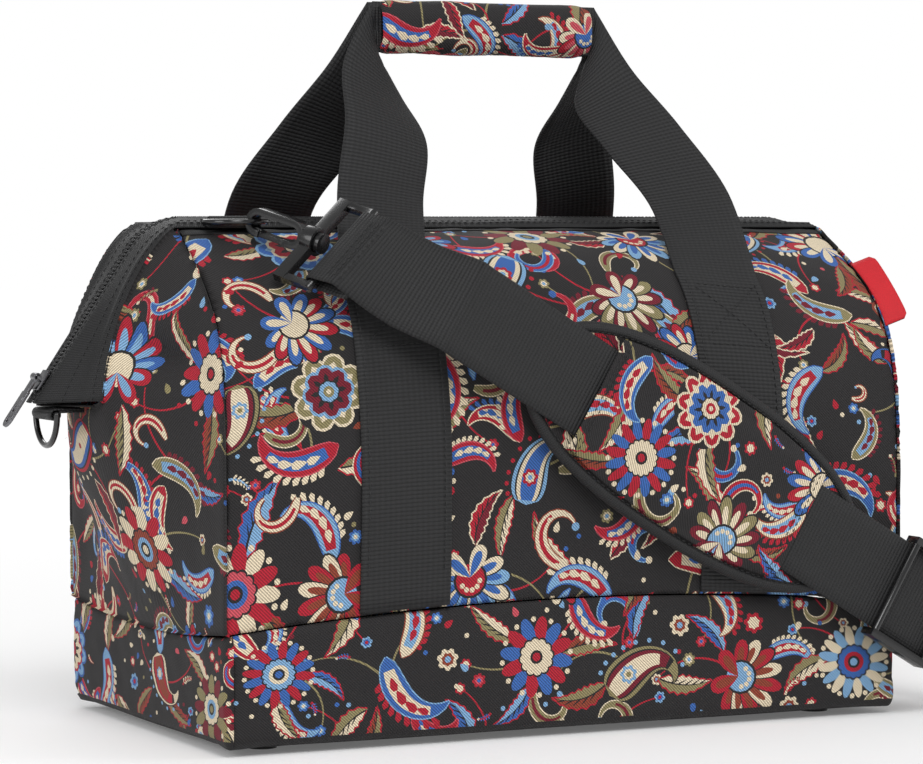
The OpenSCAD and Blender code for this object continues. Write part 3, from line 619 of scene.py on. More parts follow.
def paisley(length, side, colours):
    outer, inner, ring, heart = colours
    count = 22
    s = np.linspace(0, 1, count)
    spine = curve(length * 1.35, side * 3.0, count, 2.6)
    full = length * 0.6 * np.sin(math.pi * s ** 0.55) ** 0.8 * (1 - s * 0.35)
    shapes = [(stroke(spine, full + 1.6), "ground")]
    for share, colour in ((1.0, outer), (0.8, "ground"), (0.7, ring), (0.46, inner)):
        keep = slice(0, count) if share == 1.0 else slice(1, int(count * (0.58 + share * 0.3)))
        shapes.append((stroke(spine[keep], (full * share)[keep]), colour))
    belly = spine[int(count * 0.3)]
    shapes += moved(bud(length * 0.13, 7, (heart, "cream", outer, outer)), belly)
    for k in range(2, count - 3, 2):
        ahead = spine[k + 1] - spine[k]
        normal = -side * 1j * ahead / abs(ahead)
        shapes.append((disc(length * 0.035, 7) + spine[k] + normal * (full[k] / 2 + length * 0.075), heart))
    return shapes


def plume(length, side, colours):
    """A slender curved feather: nested bands of colour, a row of spots and a comb of teeth on one edge."""
    outer, inner, ring, heart = colours
    count = 15
    s = np.linspace(0, 1, count)
    spine = curve(length, side * 2.3, count, 1.8)
    full = length * 0.24 * np.sin(math.pi * s ** 0.7) ** 0.8
    ahead = np.gradient(spine)
    normal = 1j * ahead / np.abs(ahead)
    shapes = []
    for k in range(3, count - 3):
        root = spine[k] - side * normal[k] * full[k] * 0.4
        tooth = drop(length * 0.14, length * 0.07, 6) * (-side * normal[k]) * np.exp(1j * side * 0.7)
        shapes.append((tooth + root, ring))
    for share, extra, colour in ((1.0, 1.5, inner), (1.0, 0.0, outer), (0.6, 0.0, heart)):
        keep = slice(0, count) if share == 1.0 else slice(2, count - 3)
        shapes.append((stroke(spine[keep], (full * share + extra)[keep]), colour))
    for k in range(3, count - 4, 2):
        spot = drop(full[k] * 0.7, full[k] * 0.4, 7) * ahead[k] / abs(ahead[k])
        shapes.append((spot + spine[k], ring))
    return shapes


def curl(length, side, colours):
    """A crescent that rolls up at its tip, with a pale rim."""
    outer, inner, ring, heart = colours
    count = 17
    s = np.linspace(0, 1, count)
    spine = curve(length * 1.7, side * 4.4, count, 1.5)
    full = length * 0.2 * np.sin(math.pi * np.clip(s * 0.97 + 0.02, 0, 1) ** 0.6) + 0.5
    shapes = [(stroke(spine, full + 1.3), inner), (stroke(spine, full), outer)]
    shapes.append((stroke(spine[2:-5], full[2:-5] * 0.36), ring))
    shapes.append((disc(length * 0.07, 9) + spine[-1], heart))
    return shapes


def sprig(length, side, colours):
    stem, petal, bead = colours
    count = 12
    spine = curve(length, side * 1.1, count)
    shapes = [(stroke(spine, np.linspace(1.5, 0.8, count)), stem)]
    for k in range(2, count - 1, 2):
        for hand in (-1, 1):
            ahead = spine[k + 1] - spine[k]
            turn = ahead / abs(ahead) * np.exp(1j * hand * 0.9)
            size = length * (0.28 - 0.012 * k)
            shapes.append((drop(size, size * 0.42, 10) * turn + spine[k], petal))
    shapes += [(disc(length * 0.085, 9) + spine[-1], bead), (disc(length * 0.04, 7) + spine[-1], "cream")]
    return shapes


def tendril(length, side, colour, bead):
    count = 26
    spine = curve(length * 2.1, side * 5.6, count, 1.5)
    shapes = [(stroke(spine, np.linspace(2.6, 0.9, count)), colour)]
    shapes.append((disc(1.9, 9) + spine[-1], bead))
    for k in (4, 8, 12):
        ahead = spine[k + 1] - spine[k]
        turn = -side * 1j * ahead / abs(ahead) * np.exp(1j * side * 0.5)
        shapes.append((drop(length * 0.2, length * 0.1, 9) * turn + spine[k], colour))
    return shapes


def tulip(radius, colours):
    outer, inner, ring, heart = colours
    shapes = []
    for turn in (-0.55, 0.55, 0.0):
        petal = drop(radius * 1.5, radius * 0.85, 14, 0.6)
        colour = ring if turn == 0.0 else outer
        shapes.append((petal[::-1] * np.exp(1j * turn), colour))
        shapes.append((drop(radius * 1.15, radius * 0.36, 12) * np.exp(1j * turn), inner))
    for turn in (-1.0, 1.0):
        shapes.append((drop(radius * 0.9, radius * 0.4, 10) * np.exp(1j * turn), "olive"))
    for turn in (-0.28, 0.28):
        stalk = np.linspace(radius * 1.3, radius * 1.75, 4) * np.exp(1j * turn)
        shapes.append((stroke(stalk, np.full(4, 0.9)), heart))
        shapes.append((disc(1.5, 8) + stalk[-1], heart))
    shapes.append((disc(radius * 0.24, 10), "cream"))
    return shapes


flower_colours = [
    ("crimson", "cream", "blue", "cream"),
    ("blue", "sky", "crimson", "cream"),
    ("cream", "rust", "crimson", "sky"),
    ("olive", "cream", "wine", "sky"),
    ("crimson", "rose", "cream", "blue"),
    ("sky", "blue", "cream", "crimson"),
]
leaf_colours = [
    ("olive", "cream"), ("crimson", "wine"), ("blue", "sky"), ("rust", "olive"), ("cream", "olive"),
]


def floral(width, height, seed, pitch=66.0):
    """A scattered floral over a rectangle: large flowers on a loose lattice, then leaves and small fill."""
    draw = random.Random(seed)
    taken = []
    stems = []
    leaves = []
    flowers = []
    small = []

    slack = 0.96

    def is_free(place, radius):
        return all(abs(place - p) > (r + radius) * slack for p, r in taken)

    rows = max(1, round(height / (pitch * 0.82)))
    columns = max(1, round(width / pitch))
    for i in range(rows + 1):
        for j in range(columns + 1):
            x = (j + 0.5 * (i % 2)) * width / columns + draw.uniform(-0.16, 0.16) * pitch
            y = i * height / rows + draw.uniform(-0.16, 0.16) * pitch
            place = complex(x, y)
            colours = draw.choice(flower_colours)
            size = pitch * draw.uniform(0.3, 0.4)
            turn = draw.uniform(0, math.tau)
            kind = draw.choice((0, 1, 2, 2, 3, 3, 4))
            if kind == 0:
                shapes = rosette(size, draw.choice((8, 10, 12)), colours)
            elif kind == 1:
                shapes = starflower(size, draw.choice((12, 14, 16)), colours)
            elif kind == 2:
                shapes = palmette(size * 1.15, colours)
            elif kind == 3:
                shapes = plume(size * 2.3, draw.choice((-1, 1)), colours)
                place -= size * 0.8 * np.exp(1j * turn)
            else:
                shapes = paisley(size * 1.7, draw.choice((-1, 1)), colours)
                place -= size * 0.8 * np.exp(1j * turn)
            flowers += moved(shapes, place, turn)
            centre = place + (size * 0.8 * np.exp(1j * turn) if kind > 2 else 0)
            taken.append((centre, size))
            for _ in range(2):
                long = pitch * draw.uniform(0.65, 1.0)
                path = curve(long, draw.choice((-1, 1)) * draw.uniform(0.8, 2.0), 14)
                stem_colour = draw.choice(("crimson", "crimson", "olive"))
                stem = [(stroke(path, np.linspace(1.5, 0.7, 14)), stem_colour)]
                stem += [(shape + path[-1], colour) for shape, colour in bud(3.4, 6, colours)]
                stems += moved(stem, centre, draw.uniform(0, math.tau))
            for k in range(draw.choice((3, 3, 4))):
                away = turn + draw.uniform(-0.4, 0.4) + k * math.tau / 3 + 0.6
                root = centre + size * 0.75 * np.exp(1j * away)
                long = pitch * draw.uniform(0.42, 0.66)
                bend = draw.choice((-1, 1)) * draw.uniform(0.5, 1.3)
                if draw.random() < 0.45:
                    wide = long * draw.uniform(0.26, 0.36)
                    leaf = serrated_leaf(long, wide, bend, draw.choice(leaf_colours))
                elif draw.random() < 0.6:
                    leaf = plume(long * 1.15, 1 if bend > 0 else -1, draw.choice(flower_colours))
                else:
                    leaf = curl(long * 0.8, 1 if bend > 0 else -1, draw.choice(flower_colours))
                leaves += moved(leaf, root, away + draw.uniform(-0.3, 0.3))
                taken.append((root + long * 0.5 * np.exp(1j * away), long * 0.3))
    for _ in range(int(width * height / 55)):
        place = complex(draw.uniform(0, width), draw.uniform(0, height))
        size = draw.choice((15.0, 12.0, 10.0, 7.0, 4.5, 3.0, 2.0))
        turn = draw.uniform(0, math.tau)
        kind = draw.randrange(4)
        colours = draw.choice(flower_colours)
        side = draw.choice((-1, 1))
        if not is_free(place, size):
            continue
        taken.append((place, size))
        start = place - size * np.exp(1j * turn)
        if size > 9:
            if kind == 0:
                shapes = moved(sprig(size * 2, side, (colours[3], colours[0], colours[2])), start, turn)
            elif kind == 1:
                shapes = moved(tendril(size * 1.5, side, colours[1], colours[0]), start, turn)
            elif kind == 2:
                shapes = moved(curl(size * 1.1, side, colours), start, turn)
            elif side > 0:
                shapes = moved(plume(size * 2, side, colours), start, turn)
            else:
                shapes = moved(tulip(size, colours), start, turn)
        elif size > 4:
            if kind < 2:
                shapes = moved(bud(size * 0.9, 7, colours), place, turn)
            else:
                shapes = moved(sprig(size * 1.8, side, (colours[0], colours[2], colours[1])), start, turn)
        elif size > 2.5:
            seed_shape = [(drop(size * 2, size * 1.3, 10), colours[kind])]
            shapes = moved(seed_shape, start, turn)
        else:
            shapes = [(disc(size * 0.7, 9) + place, colours[kind])]
        small += shapes
    return stems + leaves + small + flowers


def inside(points, outline):
    """Which complex points lie inside a closed complex outline."""
    x = points.real[:, None]
    y = points.imag[:, None]
    a = outline
    b = np.roll(outline, -1)
    crosses = (a.imag > y) != (b.imag > y)
    rise = np.where(b.imag == a.imag, 1e-12, b.imag - a.imag)
    at = (b.real - a.real) * (y - a.imag) / rise + a.real
    return np.sum(crosses & (x < at), axis=1) % 2 == 1


def resampled(outline, step):
    """An outline with its long edges divided."""
    parts = []
    for a, b in zip(outline, np.roll(outline, -1)):
        count = max(1, math.ceil(abs(b - a) / step))
        parts.append(a + (b - a) * np.arange(count) / count)
    return np.concatenate(parts)


def printed_net(outline, step, shapes):
    """Flat triangles over an outline, cut along the edges of every motif, each with its colour."""
    border = resampled(outline, step)
    low = complex(border.real.min(), border.imag.min())
    high = complex(border.real.max(), border.imag.max())
    points = list(border)
    edges = [(k, (k + 1) % len(border)) for k in range(len(border))]
    used = []
    for shape, colour in shapes:
        apart = (shape.real.max() < low.real or shape.real.min() > high.real
                 or shape.imag.max() < low.imag or shape.imag.min() > high.imag)
        if apart:
            continue
        start = len(points)
        points += list(shape)
        edges += [(start + k, start + (k + 1) % len(shape)) for k in range(len(shape))]
        used.append((shape, colour))
    across = np.arange(low.real + step / 2, high.real, step)
    up = np.arange(low.imag + step / 2, high.imag, step)
    lattice = (across[None, :] + 1j * up[:, None]).ravel()
    points += list(lattice[inside(lattice, border)])
    flat = [Vector((p.real, p.imag)) for p in points]
    found, _, faces, *_ = delaunay_2d_cdt(flat, edges, [], 0, 1e-3, False)
    net = np.array([complex(v[0], v[1]) for v in found])
    faces = np.array([f for f in faces if len(f) == 3])
    corners = net[faces]
    area = np.abs(((corners[:, 1] - corners[:, 0]) * np.conj(corners[:, 2] - corners[:, 0])).imag)
    faces = faces[area > 1e-4]
    middle = net[faces].mean(axis=1)
    keep = inside(middle, border)
    faces = faces[keep]
    middle = middle[keep]
    order = np.argsort(middle.real)
    sorted_x = middle.real[order]
    colours = np.tile(np.array(palette["ground"]), (len(faces), 1))
    for shape, colour in used:
        first, last = np.searchsorted(sorted_x, (shape.real.min(), shape.real.max()))
        near = order[first:last]
        near = near[(middle.imag[near] > shape.imag.min()) & (middle.imag[near] < shape.imag.max())]
        if len(near):
            hit = near[inside(middle[near], shape)]
            colours[hit] = palette[colour]
    kept, faces = np.unique(faces, return_inverse=True)
    return net[kept], faces.reshape(-1, 3), colours


# Body surfaces
def front_point(v, t):
    """Front wall: v from -1 to 1 along it, t from 0 at the band to 1 at the hem."""
    v = np.asarray(v, float)
    t = np.asarray(t, float)
    w = (v * v)[..., None]
    profile = [mix(middle_profile[k], corner_profile[k], w) for k in range(4)]
    p = bezier(profile, t)
    x = v * mix(half_length, hem_half_length, t ** 3)
    return np.stack([x, p[..., 0], p[..., 1]], axis=-1)


def end_point(u, t):
    """Left end wall: u from -1 at the back corner to 1 at the front corner."""
    u = np.asarray(u, float)
    t = np.asarray(t, float)
    a = np.abs(u)
    w = a * a
    on_leg = bezier(leg_hem, np.clip((1 - a) / (1 - leg_share), 0, 1))
    b = np.clip(a / leg_share, 0, 1)
    on_tip = np.stack([
        mix(end_profile[3][0], leg_foot[0], b * b),
        leg_foot[1] * b,
        mix(end_profile[3][1], leg_foot[2], b * b),
    ], axis=-1)
    top = np.where((a > leg_share)[..., None], on_leg, on_tip)
    levels = []
    for (out, height), (corner_y, corner_height) in zip(end_profile[:3], corner_profile):
        level = [mix(out, half_length, w), -corner_y * a, mix(height, corner_height, w)]
        levels.append(np.stack(level, axis=-1))
    p = bezier(levels + [top], t)
    return np.stack([-p[..., 0], -np.sign(u) * p[..., 1], p[..., 2]], axis=-1)


# Heights up the front wall along its cloth, from the band to the hem
rise_shares = np.linspace(0, 1, 201)
rise_path = front_point(np.zeros(201), rise_shares)
rise_lengths = path_run(rise_path)
front_rise = rise_lengths[-1]
front_trim = 0.7
roll_width = 2.6


def rise_share(r):
    return np.interp(r, rise_lengths, rise_shares)


def rolled(distance):
    """How far an edge has rolled into its seam: 0 away from it, 1 at the edge."""
    x = np.clip(1 - distance / roll_width, 0, 1)
    return 1 - np.sqrt(np.clip(1 - x * x, 0, 1))


def front_dents(x, r):
    """Soft sag of the front wall: hollows between the handles and puckers by the seams."""
    middle = ripples(x, r, 11, 120, 0.9)
    fine = ripples(x, r * 0.6, 12, 46, 0.35)
    edge = np.minimum(np.minimum(r, front_rise - r), half_length - np.abs(x))
    pucker = ripples(x + r * 0.3, r - x * 0.3, 13, 15, 0.25) * np.exp(-np.clip(edge, 0, None) / 12)
    shoulder = -1.6 * bell(r - front_rise * 0.62, 28) * (0.4 + 0.6 * np.cos(x / 44) ** 2)
    return (middle + fine) * smooth_step(0, 30, edge) + pucker + shoulder - 0.8


def front_cloth(x, r, lift=0.0):
    """Dressed front wall at millimetres along and up its cloth, pushed out by a lift."""
    def base(a, b):
        t = rise_share(b)
        return front_point(a / mix(half_length, hem_half_length, t ** 3), t)

    reach = 0.5
    p = base(x, r)
    along = unit(base(x + reach, r) - base(x - reach, r))
    up = unit(base(x, np.minimum(r + reach, front_rise)) - base(x, np.maximum(r - reach, 0)))
    out = unit(np.cross(along, up))
    t = rise_share(r)
    half = mix(half_length, hem_half_length, t ** 3)
    side = rolled(half - front_trim - np.abs(x))
    foot = rolled(r - 0.2)
    head = rolled(front_rise - 0.4 - r)
    depth = front_dents(x, r) + lift - 1.1 * side - 1.5 * foot - 1.2 * head
    return p + out * depth[..., None] - along * (np.sign(x) * 0.8 * side)[..., None]


def net_piece(name, outline, step, shapes, surface, node, body="bag", thick=cloth,
              turned=False):
    """A printed panel: its flat net laid over a surface, with a rim as thick as the cloth."""
    net, faces, colours = printed_net(outline, step, shapes)
    points = facing(surface(net.real, net.imag), turned)
    uvs = np.stack([net.real, net.imag], axis=-1)
    piece = add_piece(name, points, faces, printed_twill, body, (node,), uvs, colours)
    add_modifier(piece, "SOLIDIFY", thickness=thick * MM, offset=-1.0, use_rim_only=True)
    return piece


def wall_outline():
    x = half_length - front_trim
    slim = hem_half_length - front_trim
    up = np.linspace(0.2, front_rise - 0.4, 40)
    t = rise_share(up)
    side = mix(x, slim, t ** 3)
    right = side + 1j * up
    left = -side[::-1] + 1j * up[::-1]
    return np.concatenate([right, left])


def make_front(name, node, seed, turned):
    shapes = moved(floral(2 * (half_length + print_margin), front_rise + 2 * print_margin, seed),
                   complex(-half_length - print_margin, -print_margin))
    net_piece(name, wall_outline(), 5.0, shapes, front_cloth, node, turned=turned)


make_front("front_wall", "front_panel", 4, False)
make_front("back_wall", "back_panel", 9, True)


# End walls are laid out as seen from the end: across is y, up is z
end_samples_u, end_samples_t = np.meshgrid(np.linspace(-1, 1, 61), np.linspace(0, 1, 49))
end_samples = end_point(end_samples_u, end_samples_t).reshape(-1, 3)
end_tree = KDTree(len(end_samples))
for index, sample in enumerate(end_samples):
    end_tree.insert((sample[1], sample[2], 0), index)
end_tree.balance()


def end_shares(y, z):
    """The (u, t) of points of the end wall given by y and z."""
    found = [end_tree.find((a, b, 0))[1] for a, b in zip(y, z)]
    u = end_samples_u.ravel()[found].copy()
    t = end_samples_t.ravel()[found].copy()
    small = 1e-4
    for _ in range(12):
        p = end_point(u, t)
        pu = (end_point(u + small, t) - p) / small
        pt = (end_point(u, t + small) - p) / small
        dy = y - p[:, 1]
        dz = z - p[:, 2]
        det = pu[:, 1] * pt[:, 2] - pu[:, 2] * pt[:, 1]
        det = np.where(np.abs(det) < 1e-3, 1e-3, det)
        u = np.clip(u + 0.7 * (dy * pt[:, 2] - dz * pt[:, 1]) / det, -1, 1)
        t = np.clip(t + 0.7 * (dz * pu[:, 1] - dy * pu[:, 2]) / det, 0, 1)
    return u, t


def end_cloth(y, z):
    u, t = end_shares(np.asarray(y, float), np.asarray(z, float))
    p = end_point(u, t)
    small = 0.004
    du = end_point(np.clip(u + small, -1, 1), t) - end_point(np.clip(u - small, -1, 1), t)
    dt = end_point(u, np.clip(t + small, 0, 1)) - end_point(u, np.clip(t - small, 0, 1))
    out = unit(np.cross(dt, du))
    out = out * np.where(out[:, :1] > 0, -1, 1)
    edge = np.minimum((1 - np.abs(u)) * half_depth, np.minimum(t, 1 - t) * 150)
    side = rolled((1 - np.abs(u)) * half_depth - 0.4)
    foot = rolled(t * 160)
    head = rolled((1 - t) * 150)
    dents = (ripples(y, z, 21, 75, 0.9) + ripples(y, z, 22, 30, 0.3)) * smooth_step(0, 24, edge)
    fold = -9.0 * bell(z - 216 + np.abs(y) * 0.2, 9) * bell(np.abs(y) - 62, 24)
    fold += 3.0 * bell(z - 236 + np.abs(y) * 0.2, 8) * bell(np.abs(y) - 64, 18)
    belly = -1.5 * bell(z - 120, 40) * bell(np.abs(y) - 70, 30)
    depth = dents + (fold + belly) * smooth_step(0, 14, edge) - 0.5 - 0.6 * side - 1.3 * foot - 0.8 * head
    tuck = np.stack([np.zeros_like(y), -np.sign(y) * 0.8 * side, np.zeros_like(y)], axis=-1)
    return p + out * depth[:, None] + tuck * np.array([1, 0.7, 1]) + np.array([0.5, 0, 0]) * side[:, None]


def end_outline():
    trim = 0.004
    low = end_point(np.linspace(-1 + trim, 1 - trim, 50), np.full(50, 0.003))
    front = end_point(np.full(40, 1 - trim), np.linspace(0.003, 0.997, 40))
    top = end_point(np.linspace(1 - trim, -1 + trim, 90), np.full(90, 0.997))
    back = end_point(np.full(40, -1 + trim), np.linspace(0.997, 0.003, 40))
    loop = np.concatenate([low[:-1], front[:-1], top[:-1], back[:-1]])
    return loop[:, 1] + 1j * loop[:, 2]


def make_end(name, node, seed, turned):
    shapes = moved(floral(2 * (half_depth + print_margin), 260, seed, 64.0),
                   complex(-half_depth - print_margin, 40))
    net_piece(name, end_outline(), 4.5, shapes, end_cloth, node, turned=turned)


make_end("left_end_wall", "left_end_panel", 31, False)
make_end("right_end_wall", "right_end_panel", 37, True)


def make_beak_floor(name, turned):
    """The small floor that closes the tip of the zip from below."""
    back = end_profile[3][0] + 0.3
    run, across = np.meshgrid(np.linspace(0, 1, 13), np.linspace(-1, 1, 11), indexing="ij")
    x = mix(back, beak_tip - 3.5, run)
    y = across * mix(leg_foot[1] - 5, 3, run)
    z = beak_height - 1.2 + 0.15 * np.sin(x * 0.4) * (1 - across ** 2)
    points = np.stack([-x, y, z], axis=-1).reshape(-1, 3)
    uvs = np.stack([x, y], axis=-1).reshape(-1, 2)
    points = facing(points, turned)
    piece = add_piece(name, points, grid_faces(13, 11), plain_twill, uvs=uvs)
    add_modifier(piece, "SOLIDIFY", thickness=0.9 * MM, offset=0.0)


make_beak_floor("left_beak_floor", False)
make_beak_floor("right_beak_floor", True)


# Base band: laid out by the way round the base and the way up from under it
side_x = half_length - base_corner
side_y = half_depth - base_corner
corner_arc = math.pi / 2 * base_corner
stretches = [2 * side_x, corner_arc, 2 * side_y, corner_arc, 2 * side_x, corner_arc, 2 * side_y, corner_arc]
stretch_ends = np.concatenate([[0], np.cumsum(stretches)])
band_round = stretch_ends[-1]
turn_rise = math.pi / 2 * base_turn
band_rise = turn_rise + band_front_height - bottom_z - base_turn


def base_round(s):
    """Outline point and outward direction at a distance round the base from the front left corner."""
    s = np.mod(np.asarray(s, float), band_round)
    k = np.clip(np.searchsorted(stretch_ends, s, side="right") - 1, 0, 7)
    d = s - stretch_ends[k]
    point = np.zeros(s.shape + (2,))
    out = np.zeros(s.shape + (2,))
    starts = [(-side_x, -half_depth), None, (half_length, -side_y), None,
              (side_x, half_depth), None, (-half_length, side_y), None]
    ways = [(1, 0), None, (0, 1), None, (-1, 0), None, (0, -1), None]
    centres = [(side_x, -side_y), (side_x, side_y), (-side_x, side_y), (-side_x, -side_y)]
    for n in range(8):
        on = k == n
        if n % 2 == 0:
            way = np.array(ways[n], float)
            point[on] = np.array(starts[n]) + d[on][:, None] * way
            out[on] = (way[1], -way[0])
        else:
            angle = -math.pi / 2 + (n // 2) * math.pi / 2 + d[on] / base_corner
            out[on] = np.stack([np.cos(angle), np.sin(angle)], axis=-1)
            point[on] = np.array(centres[n // 2]) + base_corner * out[on]
    return point, out


def band_top(p):
    on_front = np.abs(p[..., 1]) > half_depth - base_corner
    v = np.minimum(1, np.abs(p[..., 0]) / half_length)
    u = np.minimum(1, np.abs(p[..., 1]) / half_depth)
    return np.where(on_front, mix(band_front_height, band_corner_height, v * v),
                    mix(band_end_height, band_corner_height, u * u))


def band_cloth(s, r):
    p, out = base_round(s)
    top = band_top(p) - seam_gap
    angle = np.clip(r / turn_rise, 0, 1) * math.pi / 2
    share = np.clip((r - turn_rise) / (band_rise - turn_rise), 0, 1)
    room = np.max(np.array([half_length, half_depth]) - np.abs(p), axis=-1)
    inset = mix(base_corner - 1.4, base_turn, smooth_step(base_corner, 24, room)) * (1 - np.sin(angle))
    z = bottom_z + base_turn * (1 - np.cos(angle)) + share * (top - bottom_z - base_turn)
    head = rolled((1 - share) * 60)
    edge = np.minimum((1 - share) * 60, share * 60)
    wave = ripples(s, r, 41, 95, 0.8) * smooth_step(0, 18, edge) + ripples(s, r, 42, 22, 0.18)
    depth = wave - 0.7 - 1.5 * head
    flat = p + out * (depth - inset)[..., None]
    return np.stack([flat[..., 0], flat[..., 1], z], axis=-1)


def make_band():
    border = np.array([0, band_round, band_round + 1j * band_rise, 1j * band_rise])
    shapes = moved(floral(band_round, band_rise + 50, 53, 64.0), -25j)
    # The strip along the turn under the base is left unprinted, in the dark ground colour
    edge = np.array([0, band_round, band_round + 9j, 9j])
    shapes.append((resampled(edge, 20.0), "ground"))
    net_piece("base_band_cloth", border, 5.0, shapes, band_cloth, "base_band")


make_band()


# Bands of webbing and tape over a grid of points
def grid_normals(grid):
    across = np.gradient(grid, axis=1)
    along = np.gradient(grid, axis=0)
    return unit(np.cross(across, along))


def band_piece(name, grid, low, high, material, body="bag", nodes=()):
    """A strip of webbing with rounded selvedges between two heights over a grid of rows."""
    grid = np.asarray(grid, float)
    rows, columns, _ = grid.shape
    normals = grid_normals(grid)
    side = unit(np.gradient(grid, axis=1))
    bulge = (high - low) * 0.35
    middle = (high + low) / 2
    inner = grid + normals * low
    outer = (grid + normals * high)[:, ::-1]
    right = grid[:, -1:] + normals[:, -1:] * middle + side[:, -1:] * bulge
    left = grid[:, :1] + normals[:, :1] * middle - side[:, :1] * bulge
    ring = np.concatenate([inner, right, outer, left], axis=1)
    count = ring.shape[1]
    width = path_run(grid[rows // 2])
    run = path_run(grid[:, columns // 2])
    u = np.concatenate([width, [width[-1] + bulge], width[::-1], [-bulge]])
    uvs = np.stack(np.broadcast_arrays(u[None, :], run[:, None]), axis=-1).reshape(-1, 2)
    faces = [f[::-1] for f in grid_faces(rows, count, closed=True)]
    faces.append(tuple(range(count)))
    faces.append(tuple(range(rows * count - 1, (rows - 1) * count - 1, -1)))
    return add_piece(name, ring.reshape(-1, 3), faces, material, body, nodes, uvs)


def stitch_line(heap, points, out, length=3.0, gap=1.1, radius=0.34):
    """A row of thread stitches lying on a surface along a path."""
    points = np.asarray(points, float)
    out = np.broadcast_to(np.asarray(out, float), points.shape)
    run = path_run(points)
    count = int(run[-1] / (length + gap))
    for k in range(count):
        at = (k + np.array([0.02, 0.25, 0.5, 0.75, 0.98]) * length / (length + gap)) * (length + gap)
        path = at_run(at, run, points)
        lift = at_run(at, run, out)
        path = path + lift * np.array([-0.2, 0.16, 0.24, 0.16, -0.2])[:, None]
        heap.add(*tube(path, np.array([0.5, 0.9, 1.0, 0.9, 0.5]) * radius, 6))


bag_stitches = Heap()
pad_stitches = Heap()

# Zip: chain and hem down one end, then the tapes, coils and rows of stitches
leg_direction = unit([beak_tip - hem_half_length - 1.9, beak_height - ridge_height])
leg_straight = 98
bend_reach = 15
ridge_ease = 18
chain_end = np.array([beak_tip, beak_height])
leg_top = chain_end - leg_direction * leg_straight
leg_corner = chain_end - leg_direction * (leg_straight + bend_reach)
ridge_end = np.array([leg_corner[0] - ridge_ease, ridge_height])
bend_share = 0.35
flat_strip = 8


def chain_leg(w):
    if w < bend_share:
        f = w / bend_share
        return ridge_end * (1 - f) ** 2 + leg_corner * 2 * f * (1 - f) + leg_top * f * f
    return mix(leg_top, chain_end, (w - bend_share) / (1 - bend_share))


def zip_place(side, w):
    hem = bezier(leg_hem, w)
    chain = chain_leg(w)
    return np.array([side * hem[0], -hem[1], hem[2]]), np.array([side * chain[0], 0, chain[1]])


leg_count = 36
ridge_count = 90
zip_places = [zip_place(-1, 1 - k / leg_count) for k in range(leg_count)]
for k in range(ridge_count + 1):
    share = 2 * k / ridge_count - 1
    zip_places.append((np.array([share * hem_half_length, -tape_half_width, hem_height]),
                       np.array([share * ridge_end[0], 0, ridge_height])))
zip_places += [zip_place(1, (k + 1) / leg_count) for k in range(leg_count)]
tape_inner = 3.45
tape_shares = np.concatenate([np.linspace(0, 0.5, 5)[1:], np.linspace(0.56, 1.0, 9)])


def tape_row(hem, chain):
    flat = chain - np.array([0, flat_strip, 0])
    row = [chain - np.array([0, tape_inner, 0]), chain - np.array([0, 5.4, 0]), flat]
    return row + [mix(flat, hem, s * 0.985) for s in tape_shares]


tape_grid = np.array([tape_row(hem, chain) for hem, chain in zip_places])
tape_out = grid_normals(tape_grid)
wire_roll = np.concatenate([[0, 0, 0], 1.7 * bell(tape_shares - 0.78, 0.13)])
sag_run = np.linspace(-1, 1, len(tape_grid))
tape_sag = np.sin(sag_run * 31) * 0.25 + np.sin(sag_run * 17 + 1) * 0.35
sag_share = np.concatenate([[0, 0, 0], tape_shares * (1 - tape_shares) * 4])
tape_push = wire_roll[None, :] + tape_sag[:, None] * sag_share
tape_grid = tape_grid + tape_out * tape_push[..., None]
for name, node, turned in (("front_tape", "zip_tape_front", False), ("back_tape", "zip_tape_back", True)):
    grid = facing(tape_grid, turned)
    band_piece(name, grid, -0.5, 0.5, tape_weave, nodes=(node,))
    out = grid_normals(grid)
    for column in (1, 5, 12):
        line = grid[:, column] + out[:, column] * 0.5
        stitch_line(bag_stitches, line, out[:, column], 2.6, 1.2, 0.3)

# Binding along the top of each wall, over the edge of the printed cloth
hem_run = np.linspace(-hem_half_length + 1.4, hem_half_length - 1.4, 110)
hem_down = front_rise - 0.6 - np.linspace(0, 5.2, 7)
hem_grid = front_cloth(*np.meshgrid(hem_run, hem_down, indexing="ij"))
for name, grid in (("front_hem_binding", hem_grid), ("back_hem_binding", half_turn(hem_grid))):
    band_piece(name, grid, 0.05, 0.55, tape_weave)

chain_path = np.array([chain for _, chain in zip_places])
chain_run = path_run(chain_path)
tooth_pitch = 2.3


def coil_piece(name, node, turned):
    heap = Heap()
    for k in range(int(chain_run[-1] / tooth_pitch) - 1):
        at = (k + 0.5) * tooth_pitch
        place = at_run(at, chain_run, chain_path)
        along = unit(at_run(at + 0.4, chain_run, chain_path) - place)
        out = unit(np.cross(along, (0, 1, 0)))
        out = -out if out[2] < 0 else out
        side = np.array([0, -1, 0])
        bow = [(3.05, -0.55), (2.6, 0.45), (1.5, 0.72), (0.75, 0.35)]
        bow += [(0.72, -0.35), (1.6, -0.7), (2.8, -0.72)]
        path = [place + side * a + out * b + along * (0.3 if b < 0 else -0.3) for a, b in bow]
        heap.add(*tube(path, np.array([0.42, 0.46, 0.5, 0.5, 0.48, 0.42, 0.4]), 6))
    core = chain_path + np.array([0, -2.3, 0])
    heap.add(*tube(core[::2], 0.55, 6))
    points = facing(np.concatenate(heap.points), turned)
    add_piece(name, points, heap.faces, coil_nylon, "bag", (node,))


coil_piece("front_coil", "zip_coil_front", False)
coil_piece("back_coil", "zip_coil_back", True)

# Handles: sewn up the wall, free above it, and folded into the grip
grip_length = 128
grip_height = 377
grip_tall = 30
grip_thick = 22
handle_spacing = half_length - 100
handle_lean = 11
handle_sewn = 0.7
sewn_rows = 46
handle_band = grip_tall - 4
band_offset = 2.6
sew_lift = 0.15
columns = np.linspace(-1, 1, 9)


